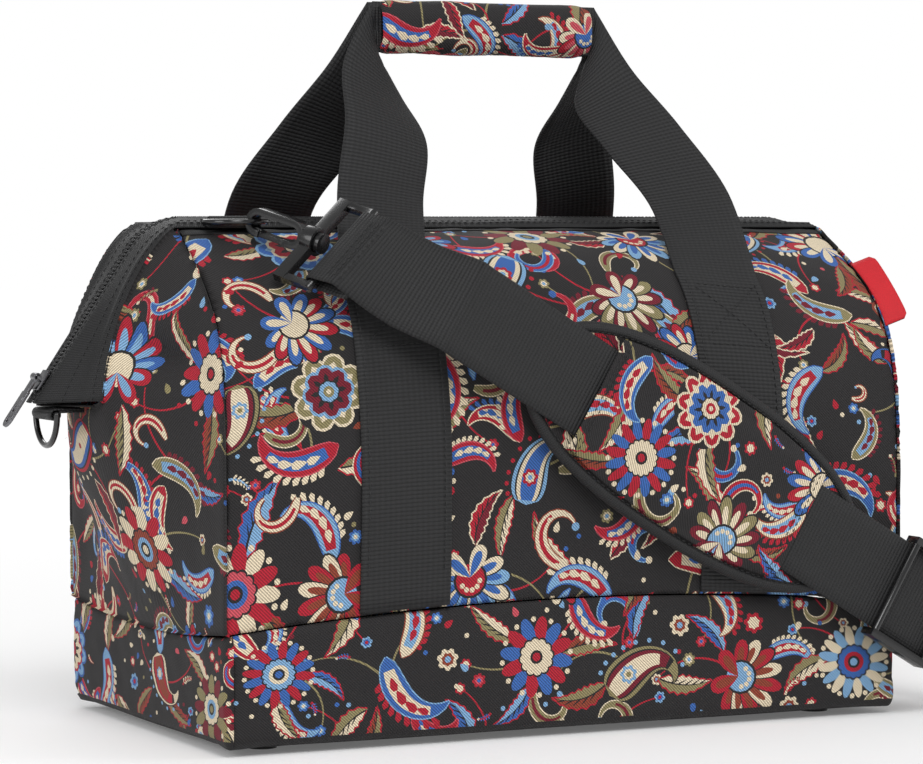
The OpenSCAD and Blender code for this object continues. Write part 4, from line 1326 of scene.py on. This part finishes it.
def handle_sewn_row(side, t):
    v = (side * handle_spacing - side * columns * webbing_width / 2) / half_length
    x = v * mix(half_length, hem_half_length, t ** 3)
    r = np.full_like(x, np.interp(t, rise_shares, rise_lengths))
    return front_cloth(x, r, sew_lift)


def handle_half(side):
    sewn = [handle_sewn_row(side, t) for t in np.linspace(0.004, handle_sewn, sewn_rows)]
    centres = [
        sewn[-1][4],
        np.array([side * (handle_spacing - 6) + handle_lean, -46, hem_height + 15]),
        np.array([side * (handle_spacing - 22) + handle_lean * 0.6, -28, hem_height + 50]),
        np.array([side * (grip_length / 2 + 6.5), -9, grip_height - 30.5]),
        np.array([side * (grip_length / 2 + 4), -band_offset, grip_height]),
    ]
    halves = [
        (sewn[-1][-1] - sewn[-1][0]) / 2,
        np.array([-side * 24.5, 0, -3]),
        np.array([-side * 23.5, 0, -6]),
        np.array([-side * 17, 0, -10]),
        np.array([0, 0, -handle_band / 2]),
    ]
    free = []
    for k in range(1, 41):
        s = 4 * k / 40
        row = spline(centres, s) + columns[:, None] * spline(halves, s)
        crown = np.array([0, -1, 0.25]) * (1 - columns[:, None] ** 2) * 1.6 * math.sin(math.pi * s / 4)
        early = (sewn[-1] - sewn[-1][4] - columns[:, None] * halves[0]) * max(0, 1 - s * 1.6)
        free.append(row + crown + early)
    return sewn, free


left_sewn, left_free = handle_half(-1)
right_sewn, right_free = handle_half(1)
across_grip = [np.array([[x, -band_offset, grip_height - k * handle_band / 2] for k in columns])
               for x in np.linspace(-grip_length / 2, grip_length / 2, 9)]
handle_grid = np.array(left_sewn + left_free + across_grip + right_free[::-1] + right_sewn[::-1])
for name, node, turned in (("front_handle", "handle_front", False), ("back_handle", "handle_back", True)):
    grid = facing(handle_grid, turned)
    band_piece(name, grid, 0, webbing_thickness, black_webbing, nodes=(node,))
    out = grid_normals(grid)
    face = grid + out * webbing_thickness
    for first in (0, len(grid) - sewn_rows):
        strip = face[first:first + sewn_rows]
        lean = out[first:first + sewn_rows]
        low, high = (3, 44) if first == 0 else (2, 43)
        box = (30, 43) if first == 0 else (3, 16)
        for share in (0.07, 0.93):
            at = share * 8
            k = int(at)
            line = mix(strip[low:high, k], strip[low:high, k + 1], at - k)
            stitch_line(bag_stitches, line, lean[low:high, k])
        for start, stop in ((0, 0), (1, 1), (0, 1), (1, 0)):
            line = []
            for s in np.linspace(0, 1, 14):
                row = mix(box[0], box[1], mix(start, stop, s))
                column = mix(0.8, 7.2, s)
                i, j = min(int(row), sewn_rows - 2), min(int(column), 7)
                low_row = mix(strip[i, j], strip[i, j + 1], column - j)
                high_row = mix(strip[i + 1, j], strip[i + 1, j + 1], column - j)
                line.append(mix(low_row, high_row, row - i))
            stitch_line(bag_stitches, line, lean[(box[0] + box[1]) // 2, 4])

# Grip wrap: printed, padded, with its seam underneath
grip_flat = grip_tall - grip_thick
grip_round = 2 * grip_flat + math.pi * grip_thick


def grip_cloth(x, s):
    """Stadium section: s runs from the seam underneath up the front and down the back."""
    r = grip_thick / 2
    quarter = math.pi / 2 * r
    s = np.mod(s, grip_round)
    y = np.empty_like(s)
    z = np.empty_like(s)
    out_y = np.empty_like(s)
    out_z = np.empty_like(s)
    marks = [0, quarter, quarter + grip_flat, 3 * quarter + grip_flat]
    marks += [3 * quarter + 2 * grip_flat, grip_round + 1]
    for n in range(5):
        on = (s >= marks[n]) & (s < marks[n + 1])
        d = s[on] - marks[n]
        if n in (0, 2, 4):
            angle = -math.pi / 2 - d / r - (math.pi / 2 if n == 2 else 0) - (1.5 * math.pi if n == 4 else 0)
            out_y[on] = np.cos(angle)
            out_z[on] = np.sin(angle)
            y[on] = r * out_y[on]
            z[on] = r * out_z[on] + (grip_flat / 2 if n == 2 else -grip_flat / 2)
        else:
            way = -1 if n == 1 else 1
            out_y[on] = way
            out_z[on] = 0
            y[on] = way * r
            z[on] = d - grip_flat / 2 if n == 1 else grip_flat / 2 - d
    end = np.clip(1 - (grip_length / 2 - np.abs(x)) / 9, 0, 1)
    seam = bell(np.minimum(s, grip_round - s), 1.6)
    push = ripples(x, s, 61, 34, 0.35) - 1.9 * end ** 2 - 1.2 * seam - 0.3
    return np.stack([x, y + out_y * push, grip_height + z + out_z * push], axis=-1)


grip_border = np.array([-grip_length / 2, grip_length / 2, grip_length / 2 + 1j * grip_round,
                        -grip_length / 2 + 1j * grip_round])
grip_shapes = moved(floral(grip_length + 40, grip_round + 40, 71, 58.0), complex(-grip_length / 2 - 20, -20))
grip = net_piece("grip_wrap", grip_border, 3.0, grip_shapes, grip_cloth, "handle_grip", thick=2.4)


# Shoulder strap: from a fold round one hook's bar, along its route, to a fold round the other's
ring_wire = 3.2
ring_radius = (30 + ring_wire) / 2
ring_inset = 36
ring_place = np.array([-half_length + ring_inset, -tape_half_width - 6, hem_height + 3])
tab_width = 28
tab_thickness = 1.2
tab_hole = ring_wire / 2 + 0.4
hook_seat = 4 - ring_wire / 2 - 1.3
bar_x = 52.9
wrap_radius = 2.5 + strap_clear + webbing_thickness


def hook_bar(place, grip, axis, frame_up, flip):
    axis = unit(axis)
    eye = place + ring_radius * np.array(grip) + axis * hook_seat
    side = unit(np.cross(frame_up, axis)) * flip
    up = np.cross(axis, side) * flip
    return eye + axis * bar_x, axis, up, side


front_turn = math.radians(31)
back_turn = math.radians(15)
front_bar = hook_bar(ring_place, (math.sin(front_turn), -math.cos(front_turn), 0),
                     (0.49, -0.83, -0.27), (-0.5, -0.47, 0.73), 1)
back_bar = hook_bar(half_turn(ring_place), (math.sin(back_turn), math.cos(back_turn), 0),
                    (0.28, 0.88, -0.36), (-0.2, 0.42, 0.88), -1)


fold_length = 20
fold_clear = 14


def strap_fold(bar, axis, up, side):
    """A strap end folded round a bar, from its free end."""
    rows = [(bar + axis * fold_length * k / 4 - up * (wrap_radius + 0.4), side) for k in range(4, 0, -1)]
    for k in range(13):
        angle = math.pi * k / 12
        rows.append((bar - wrap_radius * (up * math.cos(angle) + axis * math.sin(angle)), side))
    return rows


def strap_leave(bar, axis, up, side):
    """Where the strap leaves its fold, and its direction across."""
    return bar + axis * fold_clear + up * (wrap_radius + 1.5), side


strap_slope = math.radians(-30.8)
strap_along = np.array([math.cos(strap_slope), 0, math.sin(strap_slope)])
strap_across = np.array([-strap_along[2], 0, strap_along[0]])
pad_thickness = 6.5
pad_place = np.array([65, -half_depth - 6.8, 145])
strap_place = pad_place - np.array([0, pad_thickness + strap_clear + webbing_thickness, 0])
loose = [strap_leave(*front_bar), (np.array([-98, -117, 240]), mix(front_bar[3], strap_across, 0.6))]
loose += [(strap_place + strap_along * d, strap_across) for d in (-164, -148, 0, 181, 197)]
loose += [(np.array(p), np.array(side)) for p, side in (
    ((242, -118, 46), (0.25, -0.2, 0.95)), ((239, -84, 52), (0, -0.25, 0.97)),
    ((231, -36, 66), (0, -0.38, 0.92)), ((231, 14, 86), (0, -0.48, 0.88)),
    ((231, 58, 116), (0, -0.55, 0.83)), ((226, 97, 152), (-0.1, -0.5, 0.86)),
    ((214, 122, 188), (0.3, -0.25, 0.92)), ((199, 124, 216), (0.72, -0.05, 0.69)))]
loose.append(strap_leave(*back_bar))
loose_steps = 10
loose_last = (len(loose) - 1) * loose_steps
least_advance = 0.5
strap_rows = strap_fold(*front_bar)
for k in range(loose_last + 1):
    place = spline([p for p, _ in loose], k / loose_steps)
    step = place - strap_rows[-1][0]
    step_before = strap_rows[-1][0] - strap_rows[-2][0]
    # Rows where the route doubles back are left out, away from its two ends
    if 1 < k < loose_last - 2 and np.dot(step, step_before) < least_advance:
        continue
    strap_rows.append((place, spline([s for _, s in loose], k / loose_steps)))
strap_rows += strap_fold(*back_bar)[::-1]
strap_grid = np.array([p + columns[:, None] * unit(side) * webbing_width / 2 for p, side in strap_rows])
band_piece("strap_webbing", strap_grid, 0, webbing_thickness, black_webbing, nodes=("shoulder_strap",))
for bar, axis, up, side in (front_bar, back_bar):
    for reach in (8.5, 12.5, 16.5):
        ends = [bar + axis * reach + up * (wrap_radius + 1.9) + side * s for s in (-21, 21)]
        stitch_line(bag_stitches, ends, up)


# Webbing tabs folded round the bars of the rings
def tab_piece(name, node, tongue, place, x_axis, z_near):
    middle = tab_hole + tab_thickness / 2
    path = [(-tongue * (1 - k / 6), -middle) for k in range(7)]
    path += [(middle * math.cos(a), middle * math.sin(a)) for a in np.radians(np.arange(-75, 216, 15))]
    path += [(-2.2 - (tongue - 2.2) * k / 5, -middle + tab_thickness) for k in range(1, 6)]
    width = np.linspace(-1, 1, 7) * tab_width / 2
    rows = [placed([(x, y, z) for y in width], place, x_axis, z_near) for x, z in path]
    half = tab_thickness * 0.48
    return band_piece(name, rows, -half, half, black_webbing, nodes=(node,))


end_bar = np.array([-beak_tip + 8, 0, beak_height - 2.6 - tab_hole - tab_thickness])
slope = math.radians(14)
hem_way = np.array([0, -math.cos(slope), -math.sin(slope)])
tab_piece("left_tab", "left_end_tab", 16, end_bar, (-1, 0, 0), (0, 0, -1))
tab_piece("right_tab", "right_end_tab", 16, half_turn(end_bar), (1, 0, 0), (0, 0, -1))
tab_piece("front_tab", "front_ring_tab", 12, ring_place, hem_way, (0, 0, 1))
tab_piece("back_tab", "back_ring_tab", 12, half_turn(ring_place), half_turn(hem_way), (0, 0, 1))

# Loop of webbing round the adjuster's middle bar
adjuster_at = 160
adjuster_bar = 2.2
under_bar = -webbing_thickness - strap_clear - adjuster_bar
loop_middle = adjuster_bar + strap_clear + webbing_thickness / 2
loop_path = [(22 * (1 - k / 6), -loop_middle) for k in range(6)]
loop_turn = np.radians(np.arange(0, 126, 12))
loop_path += [(-loop_middle * math.sin(a), -loop_middle * math.cos(a)) for a in loop_turn]
loop_place = strap_place + strap_along * adjuster_at
loop_rows = []
for x, z in loop_path:
    row = [(x, y * webbing_width / 2, z + under_bar) for y in columns]
    loop_rows.append(placed(row, loop_place, strap_along, (0, -1, 0)))
half_web = webbing_thickness * 0.48
band_piece("adjuster_webbing", loop_rows, -half_web, half_web, black_webbing, "adjuster",
           nodes=("adjuster_loop",))

# Shoulder pad, in its own plane: x along the strap, y across it, z away from the bag
pad_length = 225
pad_width = 94
binding_width = 7
sleeve_length = 144
sleeve_top = pad_thickness + webbing_thickness + 2 * strap_clear + 1.3


def pad_outline(inset, count=120):
    a = np.linspace(0, math.tau, count, endpoint=False)
    x = (pad_length / 2 - inset) * np.sign(np.cos(a)) * np.abs(np.cos(a)) ** (2 / 2.4)
    y = (pad_width / 2 - inset) * np.sign(np.sin(a)) * np.abs(np.sin(a)) ** (2 / 2.4)
    return x + 1j * y


def on_pad(points):
    return placed(points, pad_place, strap_along, (0, -1, 0))


def pad_edge(x, y):
    """Rough distance in from the pad's outline."""
    share = (np.abs(x) / (pad_length / 2)) ** 2.4 + (np.abs(y) / (pad_width / 2)) ** 2.4
    return (1 - share ** (1 / 2.4)) * pad_width / 2


def pad_face(x, y):
    edge = pad_edge(x, y)
    crown = 1.1 * smooth_step(binding_width - 1, 20, edge)
    z = pad_thickness - 1.3 + crown - 0.5 * bell(edge - binding_width, 2)
    return on_pad(np.stack([x, y, z + ripples(x, y, 81, 26, 0.12)], axis=-1))


def sleeve_face(x, y):
    free = smooth_step(webbing_width / 2 + 11, webbing_width / 2 + 1, np.abs(y))
    low = pad_thickness + 0.55 + ripples(x, y, 82, 30, 0.2)
    over = smooth_step(webbing_width / 2 + 12, webbing_width / 2 + 1.5, np.abs(y))
    z = low + (sleeve_top - low + 0.2) * over
    lip = bell(sleeve_length / 2 - np.abs(x), 2.4)
    z = z + 0.45 * lip * free + ripples(x, y, 83, 42, 0.35) * free
    return on_pad(np.stack([x, y, z], axis=-1))


pad_shapes = floral(pad_length + 40, pad_width + 50, 91, 60.0)
pad_shapes = moved(pad_shapes, complex(-pad_length / 2 - 20, -pad_width / 2 - 25))
pad_line = pad_outline(binding_width - 1.5)
pad = net_piece("pad_body", pad_line, 3.5, pad_shapes, pad_face, "shoulder_pad", "pad", 5.0)
sleeve_line = resampled(pad_outline(binding_width + 0.2), 2.0)
sleeve_line = np.clip(sleeve_line.real, -sleeve_length / 2, sleeve_length / 2) + 1j * sleeve_line.imag
flat_ends = np.abs(np.abs(sleeve_line.real) - sleeve_length / 2) < 1e-6
corner = flat_ends & (np.roll(flat_ends, 1) & np.roll(flat_ends, -1))
net_piece("pad_sleeve_cloth", sleeve_line[~corner], 3.0, pad_shapes, sleeve_face, "pad_sleeve", body="pad",
          thick=1.0)
for end in (-1, 1):
    across = np.linspace(-34, 34, 30)
    for inset in (3.0, 5.5):
        line = sleeve_face(np.full(30, end * (sleeve_length / 2 - inset)), across)
        stitch_line(pad_stitches, line + np.array([0, -0.05, 0]), (0, -1, 0), 2.4, 1.2, 0.26)

# Ribbed binding round the pad: a flattened roll over the edge
binding_rows = 240
binding_sides = 15
edge_line = pad_outline(binding_width / 2, binding_rows)
edge_out = np.gradient(edge_line)
edge_out = -1j * edge_out / np.abs(edge_out)
roll = []
for k in range(binding_sides):
    angle = math.tau * k / binding_sides
    reach = binding_width / 2 * math.cos(angle)
    z = pad_thickness / 2 + (pad_thickness / 2 + 0.25) * math.sin(angle) * (1 - 0.25 * abs(math.cos(angle)))
    at = edge_line + edge_out * reach
    roll.append(np.stack([at.real, at.imag, np.full(binding_rows, z)], axis=-1))
roll = np.stack(roll, axis=1)
edge_run = np.concatenate([[0], np.cumsum(np.abs(np.diff(edge_line)))])
edge_wrap = np.arange(binding_sides) * 1.3
uvs = np.stack(np.broadcast_arrays(edge_wrap[None, :], edge_run[:, None]), axis=-1).reshape(-1, 2)
faces = grid_faces(binding_rows, binding_sides, closed=True)
last = (binding_rows - 1) * binding_sides
for k in range(binding_sides):
    after = (k + 1) % binding_sides
    faces.append((last + k, last + after, after, k))
add_piece("pad_edge_binding", on_pad(roll.reshape(-1, 3)), faces, binding_weave, "pad",
          ("pad_binding",), uvs)
inner_line = pad_outline(binding_width - 1.2, binding_rows)
inner_height = np.full(binding_rows, pad_thickness - 0.15)
inner_points = on_pad(np.stack([inner_line.real, inner_line.imag, inner_height], axis=-1))
stitch_line(pad_stitches, inner_points, (0, -1, 0), 2.4, 1.2, 0.26)

# Blank tag: a folded strip of red cloth in the right front seam
tag_rows = 19
tag_out = unit([0.86, -0.35, 0.37])
tag_edge = front_point(np.ones(tag_rows), np.linspace(0.565, 0.835, tag_rows))
tag_chord = mix(tag_edge[0], tag_edge[-1], np.linspace(0, 1, tag_rows)[:, None]) + tag_out * 2.5
tag_ease = 1 - 0.2 * np.abs(np.linspace(-1, 1, tag_rows)) ** 18
tag_grid = []
for p, straight, ease in zip(tag_edge, tag_chord, tag_ease):
    tag_tip = mix(p, straight, 0.6)
    tag_grid.append([mix(p, tag_tip, k) + tag_out * (12 * k * ease - 1.2) for k in np.linspace(0.03, 1, 7)])
band_piece("blank_tag", tag_grid, 0.05, 0.95, tag_weave, nodes=("side_tag",))

# Underside of the base, with a slight sag between the studs
under_x = np.linspace(-1, 1, 41) * (half_length - base_turn + 2.2)
under_y = np.linspace(-1, 1, 25) * (half_depth - base_turn + 2.2)
under_x, under_y = np.meshgrid(under_x, under_y)
under_z = bottom_z + 0.15 + 0.25 * (1 - np.cos(under_x / 31) * np.cos(under_y / 27))
under = np.stack([under_x, under_y, under_z], axis=-1)
under_uv = under.reshape(-1, 3)[:, :2]
under_faces = [f[::-1] for f in grid_faces(25, 41)]
base = add_piece("base_cloth", under.reshape(-1, 3), under_faces, plain_twill, "bag",
                 ("bottom_panel",), under_uv)
add_modifier(base, "SOLIDIFY", thickness=1.4 * MM, offset=-1.0)

for heap, name, body in ((bag_stitches, "bag_stitching", "bag"), (pad_stitches, "pad_stitching", "pad")):
    add_piece(name, np.concatenate(heap.points), heap.faces, thread, body)


# Rigid parts keep their solids, with moulded edges and finished surfaces
def finish_node(node, material, edge):
    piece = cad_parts[node]
    piece.data.materials.clear()
    piece.data.materials.append(material)
    if edge:
        add_modifier(piece, "WELD", merge_threshold=0.01 * MM)
        add_modifier(piece, "BEVEL", width=edge * MM, segments=3, limit_method="ANGLE",
                     angle_limit=math.radians(50), harden_normals=False)
    piece.data.shade_smooth()


finishes = (
    (gloss_black, 0, ("left_end_ring", "right_end_ring", "front_ring", "back_ring")),
    (moulded_black, 0.9, ("front_hook", "back_hook", "front_hook_frame", "back_hook_frame")),
    (moulded_black, 0.9, ("strap_adjuster",)),
    (moulded_black, 0.5, ("front_hook_gate", "back_hook_gate")),
    (moulded_black, 0.8, ("feet",)),
    (gunmetal, 0.35, ("zip_slider", "zip_pull")),
    (fibreboard, 0.5, ("base_board",)),
    (spring_steel, 0, ("frame_wire_front", "frame_wire_back")),
)
for material, edge, nodes in finishes:
    for node in nodes:
        finish_node(node, material, edge)
